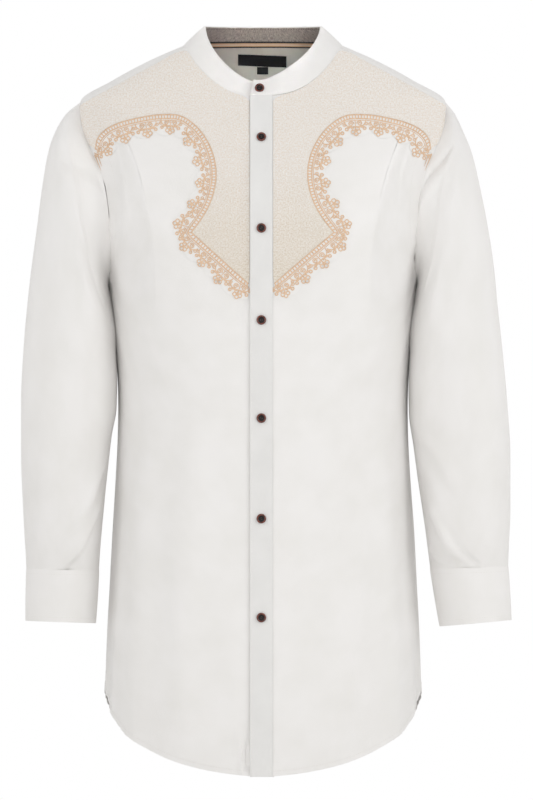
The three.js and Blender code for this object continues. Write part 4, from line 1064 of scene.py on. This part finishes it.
def cuffPoint(side, around, drop):
    last = {name: read(float(sleeve["rings"])) for name, read in sleeves[side].items()}
    row = {name: mix(last[name], cuffs[side][name], drop) for name in sleeveNames}
    around, _ = np.broadcast_arrays(np.asarray(around, float), np.asarray(drop, float))
    point = ringPoint(row, around)
    away = point - ringPoint(row, np.full(around.shape, 90.0), flat=True)
    away[..., 2] = 0
    return point, unit(away)


def makeSleeve(side):
    around = np.linspace(0, 360, sleeve["fineArounds"] + 1)[None, :-1]
    ring = (steps(sleeve["fineRings"]) * sleeve["rings"])[:, None]
    points, normals = onSleeve(side, around, ring, 0 * ring)
    word = "Left" if side > 0 else "Right"
    made = addShell("sleeve" + word, points, normals, sleeve["thickness"], [poplin], loop=True)
    dress(made, ["sleeve_" + word.lower()])


def makeCuff(side):
    travel = (steps(cuff["columns"]) * (360 + cuff["lap"]))[None, :]
    drop = steps(cuff["rows"])[:, None]
    point, away = cuffPoint(side, cuff["start"] + travel, drop)
    lift = cuff["lift"] * (1 - smooth(cuff["lap"], cuff["lap"] + cuff["fade"], travel))
    swell = cuff["swell"] * (1 + np.maximum(0, np.sin(math.pi * drop)) ** 0.6)
    swell = swell + cuff["wave"] * uneven(travel * 0.8, cuff["wavePitch"], side + 2.0)
    fromRidge = (cuff["start"] + travel - cuff["ridgeAround"]) / cuff["ridgeWidth"]
    points = point + away * (lift + swell + cuff["ridge"] * np.exp(-fromRidge**2))[..., None]
    word = "Left" if side > 0 else "Right"
    made = addShell("cuff" + word, points, away, cuff["thickness"], [poplin])
    dress(made, ["cuff_" + word.lower()])
    for row in (2, cuff["rows"] - 2):
        addStitches(stitching, points[row], away[row])


# The binding strip of the slit behind each wrist: its middle and half-width in degrees, its rings
sleevePlacket = {"around": 251, "half": 13, "start": 10.0, "end": 12.9, "lift": 0.9,
                 "thickness": 0.6}


def makeSleevePlacket(side):
    around = sleevePlacket["around"] + np.linspace(-1, 1, 9)[None, :] * sleevePlacket["half"]
    ring = mix(sleevePlacket["start"], sleevePlacket["end"], steps(40))[:, None]
    points, normals = onSleeve(side, around, ring, sleevePlacket["lift"] + 0 * ring)
    word = "Left" if side > 0 else "Right"
    made = addShell("sleevePlacket" + word, points, normals, sleevePlacket["thickness"], [poplin])
    dress(made, ["sleeve_placket_" + word.lower()])
    for line in (1, 7):
        addStitches(stitching, points[:, line], normals[:, line])
    addStitches(stitching, points[2, 1:8], normals[2, 1:8])


for side in (1, -1):
    makeSleeve(side)
    makeCuff(side)
    makeSleevePlacket(side)
print("sleeves made")


# The line where a chest panel meets its border, seen from the front, on the right front
borderPoints = [
    (-209, -124), (-207, -112), (-198, -101), (-182, -92.5), (-158, -86), (-129, -81.5),
    (-103, -83), (-84, -95), (-68, -116), (-59, -141), (-58, -166), (-65, -193), (-76, -213),
    (-88, -229), (-69, -246), (-46, -267), (-18, -292)]
cornerIndex = 13


# Even points along a smooth curve through the given ones
def curveThrough(points, count=400):
    given = np.array(points, float)
    ends = [2 * given[0] - given[1], 2 * given[-1] - given[-2]]
    knots = np.concatenate([[ends[0]], given, [ends[1]]])
    made = []
    for i in range(len(given) - 1):
        p = knots[i:i + 4]
        t = np.concatenate([[0], np.cumsum(np.linalg.norm(np.diff(p, axis=0), axis=1) ** 0.5)])
        at = mix(t[1], t[2], np.arange(24) / 24)[:, None]

        def between(first, second, low, high):
            return ((t[high] - at) * first + (at - t[low]) * second) / (t[high] - t[low])

        a = [between(p[k], p[k + 1], k, k + 1) for k in range(3)]
        b = [between(a[k], a[k + 1], k, k + 2) for k in range(2)]
        made.append(between(b[0], b[1], 1, 2))
    dense = np.concatenate(made + [given[-1:]])
    travel = lengthsAlong(dense)
    even = np.linspace(0, travel[-1], count + 1)
    return np.stack([np.interp(even, travel, dense[:, k]) for k in range(2)], 1)


upperLine = curveThrough(borderPoints[:cornerIndex + 1], 900)
lowerLine = curveThrough(borderPoints[cornerIndex:], 300)
borderLine = np.concatenate([upperLine, lowerLine[1:]])
borderTravel = lengthsAlong(borderLine)
borderLength = borderTravel[-1]


def linePoint(share):
    at = np.clip(share, 0, 1) * borderLength
    return np.stack([np.interp(at, borderTravel, borderLine[:, k]) for k in range(2)], -1)


# The way from the line towards the scalloped edge
def lineOut(share):
    step = unit(linePoint(share + 0.03) - linePoint(share - 0.03))
    out = np.stack([step[..., 1], -step[..., 0]], -1)
    out = mix(out, np.array([0.5, -0.86]), (1 - smooth(0, 0.05, share))[..., None])
    out = mix(out, np.array([0, -1.0]), smooth(0.95, 1, share)[..., None])
    return unit(out)


# A place on a front from x, as seen on the right front, and z, kept clear of the placket
def onFront(side, x, z, lift):
    edge = placket["stitchedEdge"] if side > 0 else placket["freeEdge"]
    limit = side * turnAt(edge + side * 0.5, z)
    turn = np.maximum(limit, -turnAt(x, z))
    place = np.mod(side * turn, 4)
    return onBody(place, z, lift + lapRise(side, x))


# The left front reaches under the placket, so its pieces shift towards it
def placketShift(side, x):
    if side < 0:
        return 0 * x
    return (placket["stitchedEdge"] + placket["freeEdge"]) * smooth(-120, -20, x)


def borderPlace(side, share, out, lift):
    share, out = np.broadcast_arrays(np.asarray(share, float), np.asarray(out, float))
    point = linePoint(share)
    x = point[..., 0] - placketShift(side, point[..., 0])
    direction = lineOut(share)
    x, z = x + direction[..., 0] * out, point[..., 1] + direction[..., 1] * out
    return onFront(side, x, z, lift + 0 * out)


chestPanel = {"rows": 46, "columns": 200, "inset": 0.7, "lift": 0.95, "thickness": 0.6,
              "heights": [-66, -100, -135, -170, -205, -240, -270, -284]}


# The panel's outer edge, a little in from the armhole, the yoke, the neck and the placket
def chestEdge(side):
    edge = []
    inset = chestPanel["inset"]

    def put(turn, z, towardsX, towardsZ):
        point = bodyPoint(turn, z)
        edge.append((-abs(point[0]) + inset * towardsX, point[2] + inset * towardsZ))

    for around in (58, 48, 38, 27, 16):
        put(*armholePlace(around), 1, -0.6)
    for share in (0.9, 0.7, 0.55, 0.4, 0.25, 0.08):
        put(*yokeFrontPlace(np.array(share)), 0, -1)
    for swing in (0.79, 0.64, 0.47, 0.3):
        put(*neckSeam(swing), -0.7, -0.9)
    seamX = placket["stitchedEdge"] if side > 0 else -placket["freeEdge"]
    edge += [(-seamX - 0.6, z) for z in chestPanel["heights"]]
    return curveThrough(edge, chestPanel["columns"])


def makeChestPanel(side):
    edge = chestEdge(side)[None, :, :]
    line = linePoint(steps(chestPanel["columns"]))
    line[:, 0] -= placketShift(side, line[:, 0])
    v = steps(chestPanel["rows"])[:, None, None]
    flat = mix(edge, line[None], v)
    x, z = flat[..., 0], flat[..., 1]
    points, normals = onFront(side, x, z, chestPanel["lift"] + 0 * x)
    word = "Left" if side > 0 else "Right"
    made = addShell("chestPanel" + word, points, normals, chestPanel["thickness"], [panelCloth])
    places = np.concatenate([flat.reshape(-1, 2)] * 2) * metre
    setUvs(made.data, made.data.uv_layers["cloth"], places)
    dress(made, ["chest_panel_" + word.lower()])


# The border's scalloped ground and what is sewn on it. Cords run along its upper edge with rungs
# between them, then a thin line, then the flower clusters, one to each scallop
border = {"width": 23, "scallop": 7, "start": 0.3, "lift": 0.6, "thickness": 0.3,
          "threadLift": 0.25, "cord": 0.85, "innerCord": 1.0, "outerCord": 5.8, "rung": 0.75,
          "rungPitch": 3.8, "line": 8.0, "lineRadius": 0.5}

# One cluster, in millimetres across it and away from the line: on each hand a scroll, a stem, a
# tendril, a curl and two beads, and in the middle a flower of five petals on a stalk
cluster = {"count": 13, "middle": 18, "unevenSize": 0.05,
           "scroll": {"across": 5.2, "away": 12.0, "size": 3.4, "turns": 1.5, "radius": 0.72},
           "stem": {"across": 13.0, "away": 8.4, "inward": 11.0, "hook": 1.7, "rise": 9.0,
                    "bow": 1.6, "radius": 0.72},
           "tendril": {"across": 2.0, "away": 17.2, "outward": 9.0, "bow": 2.0, "radius": 0.7},
           "curl": {"across": 13.4, "away": 12.6, "size": 2.4, "turns": 1.1, "radius": 0.65},
           "beads": [(10.8, 18.4, 1.7, 10, 0.85), (7.6, 16.0, 1.0, 8, 0.75)],
           "flower": 20.8, "petals": 5, "petalOut": 3.7, "petal": 2.3, "petalRadius": 0.72,
           "heart": 0.9, "heartRadius": 0.8, "stalk": (8.0, 15.4), "stalkRadius": 0.6}

# Two short tapered threads beyond the border's outer end, from and to places on the front
taperedThreads = [((-209.5, -131.5), (-201.5, -151)), ((-206.5, -131), (-200.5, -146))]


# Shares of the line at which clusters stand, evenly spaced along their own middles
def clusterShares():
    share = steps(900)
    middles = linePoint(share) + lineOut(share) * cluster["middle"]
    travel = lengthsAlong(middles)
    wanted = (np.arange(cluster["count"]) + 0.5) / cluster["count"] * travel[-1]
    return np.interp(wanted, travel, share)


def makeGround(side, word):
    share = steps(520)[None, :]
    v = steps(10)[:, None]
    petal = np.abs(np.sin(math.pi * share * cluster["count"]))
    out = border["start"] + v * (border["width"] - 3 + border["scallop"] * petal)
    points, normals = borderPlace(side, share, out, border["lift"])
    ground = addShell("borderGround" + word, points, normals, border["thickness"], [poplin])


def spiral(size, turns, count):
    bend = np.linspace(0, 1, count)
    return size * (1 - 0.8 * bend), 2 * math.pi * turns * bend


# Sews one cluster through place, which turns across and away into points on the cloth
def sewCluster(sew, place):
    def ring(across, away, size, count, radius):
        angle = np.linspace(0, 2 * math.pi, count + 1)[:-1]
        points, normals = place(across + size * np.cos(angle), away + size * np.sin(angle))
        sew(points, normals, radius, closed=True)

    scroll, stem, tendril, curl = (cluster[key] for key in ("scroll", "stem", "tendril", "curl"))
    bend = np.linspace(0, 1, 14)
    arch = np.sin(math.pi * bend)
    for hand in (-1, 1):
        size, angle = spiral(scroll["size"], scroll["turns"], 20)
        sew(*place(hand * (scroll["across"] - size * np.cos(angle)),
                   scroll["away"] - size * np.sin(angle)), scroll["radius"])
        sew(*place(hand * (stem["across"] - stem["inward"] * bend ** stem["hook"]),
                   stem["away"] + stem["rise"] * bend + stem["bow"] * arch), stem["radius"])
        sew(*place(hand * (tendril["across"] + tendril["outward"] * bend),
                   tendril["away"] - tendril["bow"] * arch), tendril["radius"])
        size, angle = spiral(curl["size"], curl["turns"], 14)
        sew(*place(hand * (curl["across"] - size * np.cos(angle)),
                   curl["away"] + size * np.sin(angle)), curl["radius"])
        for across, away, size, count, radius in cluster["beads"]:
            ring(hand * across, away, size, count, radius)
    middle, out = cluster["flower"], cluster["petalOut"]
    for k in range(cluster["petals"]):
        angle = math.pi * (0.5 + 2 * k / cluster["petals"])
        ring(out * math.cos(angle), middle + out * math.sin(angle), cluster["petal"], 11,
             cluster["petalRadius"])
    ring(0, middle, cluster["heart"], 8, cluster["heartRadius"])
    sew(*place(np.zeros(4), np.linspace(*cluster["stalk"], 4)), cluster["stalkRadius"])


def makeBorder(side):
    word = "Left" if side > 0 else "Right"
    makeGround(side, word)
    store = Gathered()
    face = border["lift"] + border["threadLift"]

    def sew(path, normal, radius, closed=False, sides=5, swell=0.0):
        radii = radius * (1 + swell * np.cos(np.arange(len(path)) * 2.2))
        store.add(*cordOf(path, normal, radii, sides, closed, flatness=0.75))

    long = steps(420)
    for out in (border["innerCord"], border["outerCord"]):
        sew(*borderPlace(side, long, out + 0 * long, face), border["cord"], sides=6, swell=0.12)
    sew(*borderPlace(side, long, border["line"] + 0 * long, face), border["lineRadius"])
    rungs = int(borderLength / border["rungPitch"])
    for k in range(rungs):
        at = np.full(3, (k + 0.5) / rungs)
        across = np.linspace(border["innerCord"], border["outerCord"], 3)
        sew(*borderPlace(side, at, across, face), border["rung"])
    for k, share in enumerate(clusterShares()):
        anchor, out = linePoint(share), lineOut(share)
        along = np.array([-out[1], out[0]])
        scale = 1 + cluster["unevenSize"] * math.sin(1.9 * k + side)

        def place(across, away):
            offset = np.multiply.outer(across, along) + np.multiply.outer(away, out)
            x, z = (anchor + scale * offset).T
            x = x - placketShift(side, x)
            return onFront(side, x, z, face + 0 * x)

        sewCluster(sew, place)
    taper = steps(10)
    for first, last in taperedThreads:
        path = mix(np.array(first), np.array(last), taper[:, None])
        points, normals = onFront(side, path[:, 0], path[:, 1], face + 0 * taper)
        store.add(*cordOf(points, normals, 1.0 - 0.8 * taper, 5, flatness=0.75))
    made = store.make("embroidery" + word, peachThread)
    dress(made, ["border_" + word.lower()])


for side in (1, -1):
    makeChestPanel(side)
    makeBorder(side)
print("chest panels and borders made")


# Buttons: a raised reddish rim round a black dish with four holes, sewn with thread
button = {"radius": 6, "thickness": 2.4, "rim": 1.8, "dish": 0.7, "sides": 40, "holeOut": 1.5,
          "threadShift": 0.28, "threadRadius": 0.2, "threadBow": 0.35}


# The button's outline from the middle of its underside round to the middle of its dish, as
# distances from its axis and above the cloth
def buttonProfile():
    radius, top, rim, dish = (button[key] for key in ("radius", "thickness", "rim", "dish"))
    return [(0, 0), (radius - 0.6, 0), (radius - 0.1, 0.5), (radius, top * 0.5),
            (radius - 0.15, top - 0.45), (radius - 0.5, top - 0.1), (radius - 0.85, top),
            (radius - rim + 0.1, top - 0.15), (radius - rim - 0.2, top - dish + 0.1),
            (radius - rim - 0.7, top - dish), (0, top - dish + 0.05)]


def makeButton(name, node, seat, out, spin):
    out = unit(np.asarray(out, float))
    aside = unit(np.cross(out, np.array([0, 0, 1.0])))
    up = np.cross(aside, out)
    sides, profile = button["sides"], buttonProfile()
    angles = 2 * math.pi * np.arange(sides)[:, None] / sides
    circle = np.cos(angles) * aside + np.sin(angles) * up
    points, faces, kinds = [], [], []
    for away, height in profile:
        points.append(seat + out * height + away * circle)
    for row in range(len(profile) - 1):
        low, high = row * sides, (row + 1) * sides
        for j in range(sides):
            k = (j + 1) % sides
            faces.append((low + j, low + k, high + k, high + j))
            kinds.append(0 if 1 < row < 8 else 1)  # the rim is rows 2 to 7 of the outline
    made = newObject(name, np.concatenate(points), faces, [brownResin, blackResin],
                     faceMaterials=kinds, softAngle=60)
    dress(made, [node])
    store = Gathered()
    holes = []
    for k in range(4):
        angle = spin + math.pi * (k + 0.5) / 2
        holeOut = button["holeOut"] * (math.cos(angle) * aside + math.sin(angle) * up)
        holes.append(seat + out * profile[-1][1] + holeOut)
    across = unit(holes[1] - holes[2])
    share = steps(6)[:, None]
    bow = out * (button["threadBow"] * np.sin(math.pi * share))
    for start, end in ((0, 1), (2, 3)):
        for shift in (-button["threadShift"], button["threadShift"]):
            path = mix(holes[start], holes[end], share) + bow + across * shift
            store.add(*cordOf(path, np.repeat(out[None], 7, 0), button["threadRadius"], 5))
    store.make(name + "Thread", darkThread)


# Where the buttons sit: one on the collar, six down the placket and one on each cuff
seats = {"collarSwing": -0.03, "collarRise": 0.36, "collarLift": 1.5, "collarTilt": (-0.1, -1.2, 0),
         "placketSink": 0.35, "cuffLift": 1.1, "cuffDrop": 0.5, "placketSpin": 0.7}
placketMiddle = (placket["freeEdge"] + placket["stitchedEdge"]) / 2
seat, _ = collarPoint(np.array(seats["collarSwing"]), np.array(seats["collarRise"]),
                      np.array(collar["lapLift"] + seats["collarLift"]))
facing = collarNormal(np.array(0.0)) + np.array(seats["collarTilt"])
makeButton("button1", "button_1", seat, facing, 0.3)
for k, z in enumerate(buttonHeights):
    turn = np.mod(turnAt(placketMiddle, z), 4)
    seat, out = onBody(turn, np.array(float(z)), np.array(strip["lift"] - seats["placketSink"]))
    makeButton(f"button{k + 2}", f"button_{k + 2}", seat, out, seats["placketSpin"] * k)
for side in (1, -1):
    around = cuff["start"] + cuff["lap"] / 2
    seat, away = cuffPoint(side, np.array(around), np.array(seats["cuffDrop"]))
    word = "Left" if side > 0 else "Right"
    seat = seat + away * (cuff["lift"] + seats["cuffLift"])
    makeButton("cuffButton" + word, "cuff_button_" + word.lower(), seat, away, 0.5)
print("buttons made")

made = stitching.make("seamStitches", whiteThread)
print("stitches made", len(made.data.polygons))


# The studio, in metres and watts: a pale round floor under the shirt, light from all round that is
# palest at the horizon, soft lights, and a level camera with a long lens
studio = {"floorRadius": 2.4, "floorHeight": -1.0, "horizon": 1.0, "sky": 0.76,
          "horizonFrom": 0.03, "horizonTo": 0.16, "cameraX": 0.0044, "cameraHeight": -0.4375,
          "cameraDistance": 24, "sensor": 24}
lights = {
    "frontLight": {"place": (0.0, -3.2, 0.25), "aim": (0, 0, -0.3), "size": (2.6, 1.6),
                   "power": 10},
    "leftLight": {"place": (-2.6, -2.2, 0.6), "aim": (0, 0, -0.45), "size": (1.6, 2.6),
                  "power": 11},
    "rightLight": {"place": (2.7, -1.9, 0.5), "aim": (0, 0, -0.5), "size": (0.9, 1.6),
                   "power": 17},
    "neckLight": {"place": (0.0, -1.5, 0.1), "aim": (0, 0.06, 0.002), "size": (0.05, 0.03),
                  "power": 0.017, "spread": 0.1}}
# Matt paper, which takes soft shadows and gives back no gloss
paperLook = {"base": "f2f1ef", "roughness": 0.95, "specular": 0.1}


def makeFloor():
    angles = np.linspace(0, 2 * math.pi, 97)[:-1]
    radius, height = studio["floorRadius"], studio["floorHeight"]
    points = [(radius * math.cos(a), radius * math.sin(a), height) for a in angles]
    mesh = bpy.data.meshes.new("floor")
    mesh.from_pydata(points, [], [list(range(len(points)))])
    mesh.materials.append(newMaterial("matt pale floor", paperLook)[0])
    floor = bpy.data.objects.new("floor", mesh)
    bpy.context.scene.collection.objects.link(floor)


def makeLight(name, place, aim, size, power, spread=math.pi):
    data = bpy.data.lights.new(name, "AREA")
    data.shape = "RECTANGLE"
    data.size, data.size_y = size
    data.energy, data.spread = power, spread
    light = bpy.data.objects.new(name, data)
    light.location = place
    direction = np.array(aim) - np.array(place)
    pitch = math.atan2(math.hypot(direction[0], direction[1]), -direction[2])
    light.rotation_euler = (pitch, 0, math.atan2(direction[1], direction[0]) - math.pi / 2)
    bpy.context.scene.collection.objects.link(light)


def makeWorld():
    world = bpy.data.worlds.new("studio")
    world.use_nodes = True
    tree = world.node_tree
    background = tree.nodes["Background"]
    place = addNode(tree, "TexCoord", {}, "Generated")
    height = addNode(tree, "SeparateXYZ", {"Vector": place}, "Z")
    height = addNode(tree, "Math", {0: height}, operation="ABSOLUTE")
    level = addNode(tree, "MapRange", {
        "Value": height, "From Min": studio["horizonFrom"], "From Max": studio["horizonTo"],
        "To Min": studio["horizon"], "To Max": studio["sky"]}, interpolation_type="SMOOTHSTEP")
    background.inputs["Color"].default_value = (1, 1, 1, 1)
    tree.links.new(level, background.inputs["Strength"])
    bpy.context.scene.world = world


def makeCamera():
    data = bpy.data.cameras.new("camera")
    data.sensor_width = studio["sensor"]
    data.lens = studio["sensor"] * studio["cameraDistance"]
    data.clip_end = 200
    camera = bpy.data.objects.new("camera", data)
    camera.location = (studio["cameraX"], -studio["cameraDistance"], studio["cameraHeight"])
    camera.rotation_euler = (math.pi / 2, 0, 0)
    bpy.context.scene.collection.objects.link(camera)
    bpy.context.scene.camera = camera


makeFloor()
makeWorld()
for name, light in lights.items():
    makeLight(name, **light)
makeCamera()
bpy.context.scene.view_settings.view_transform = "Standard"
print("studio made")
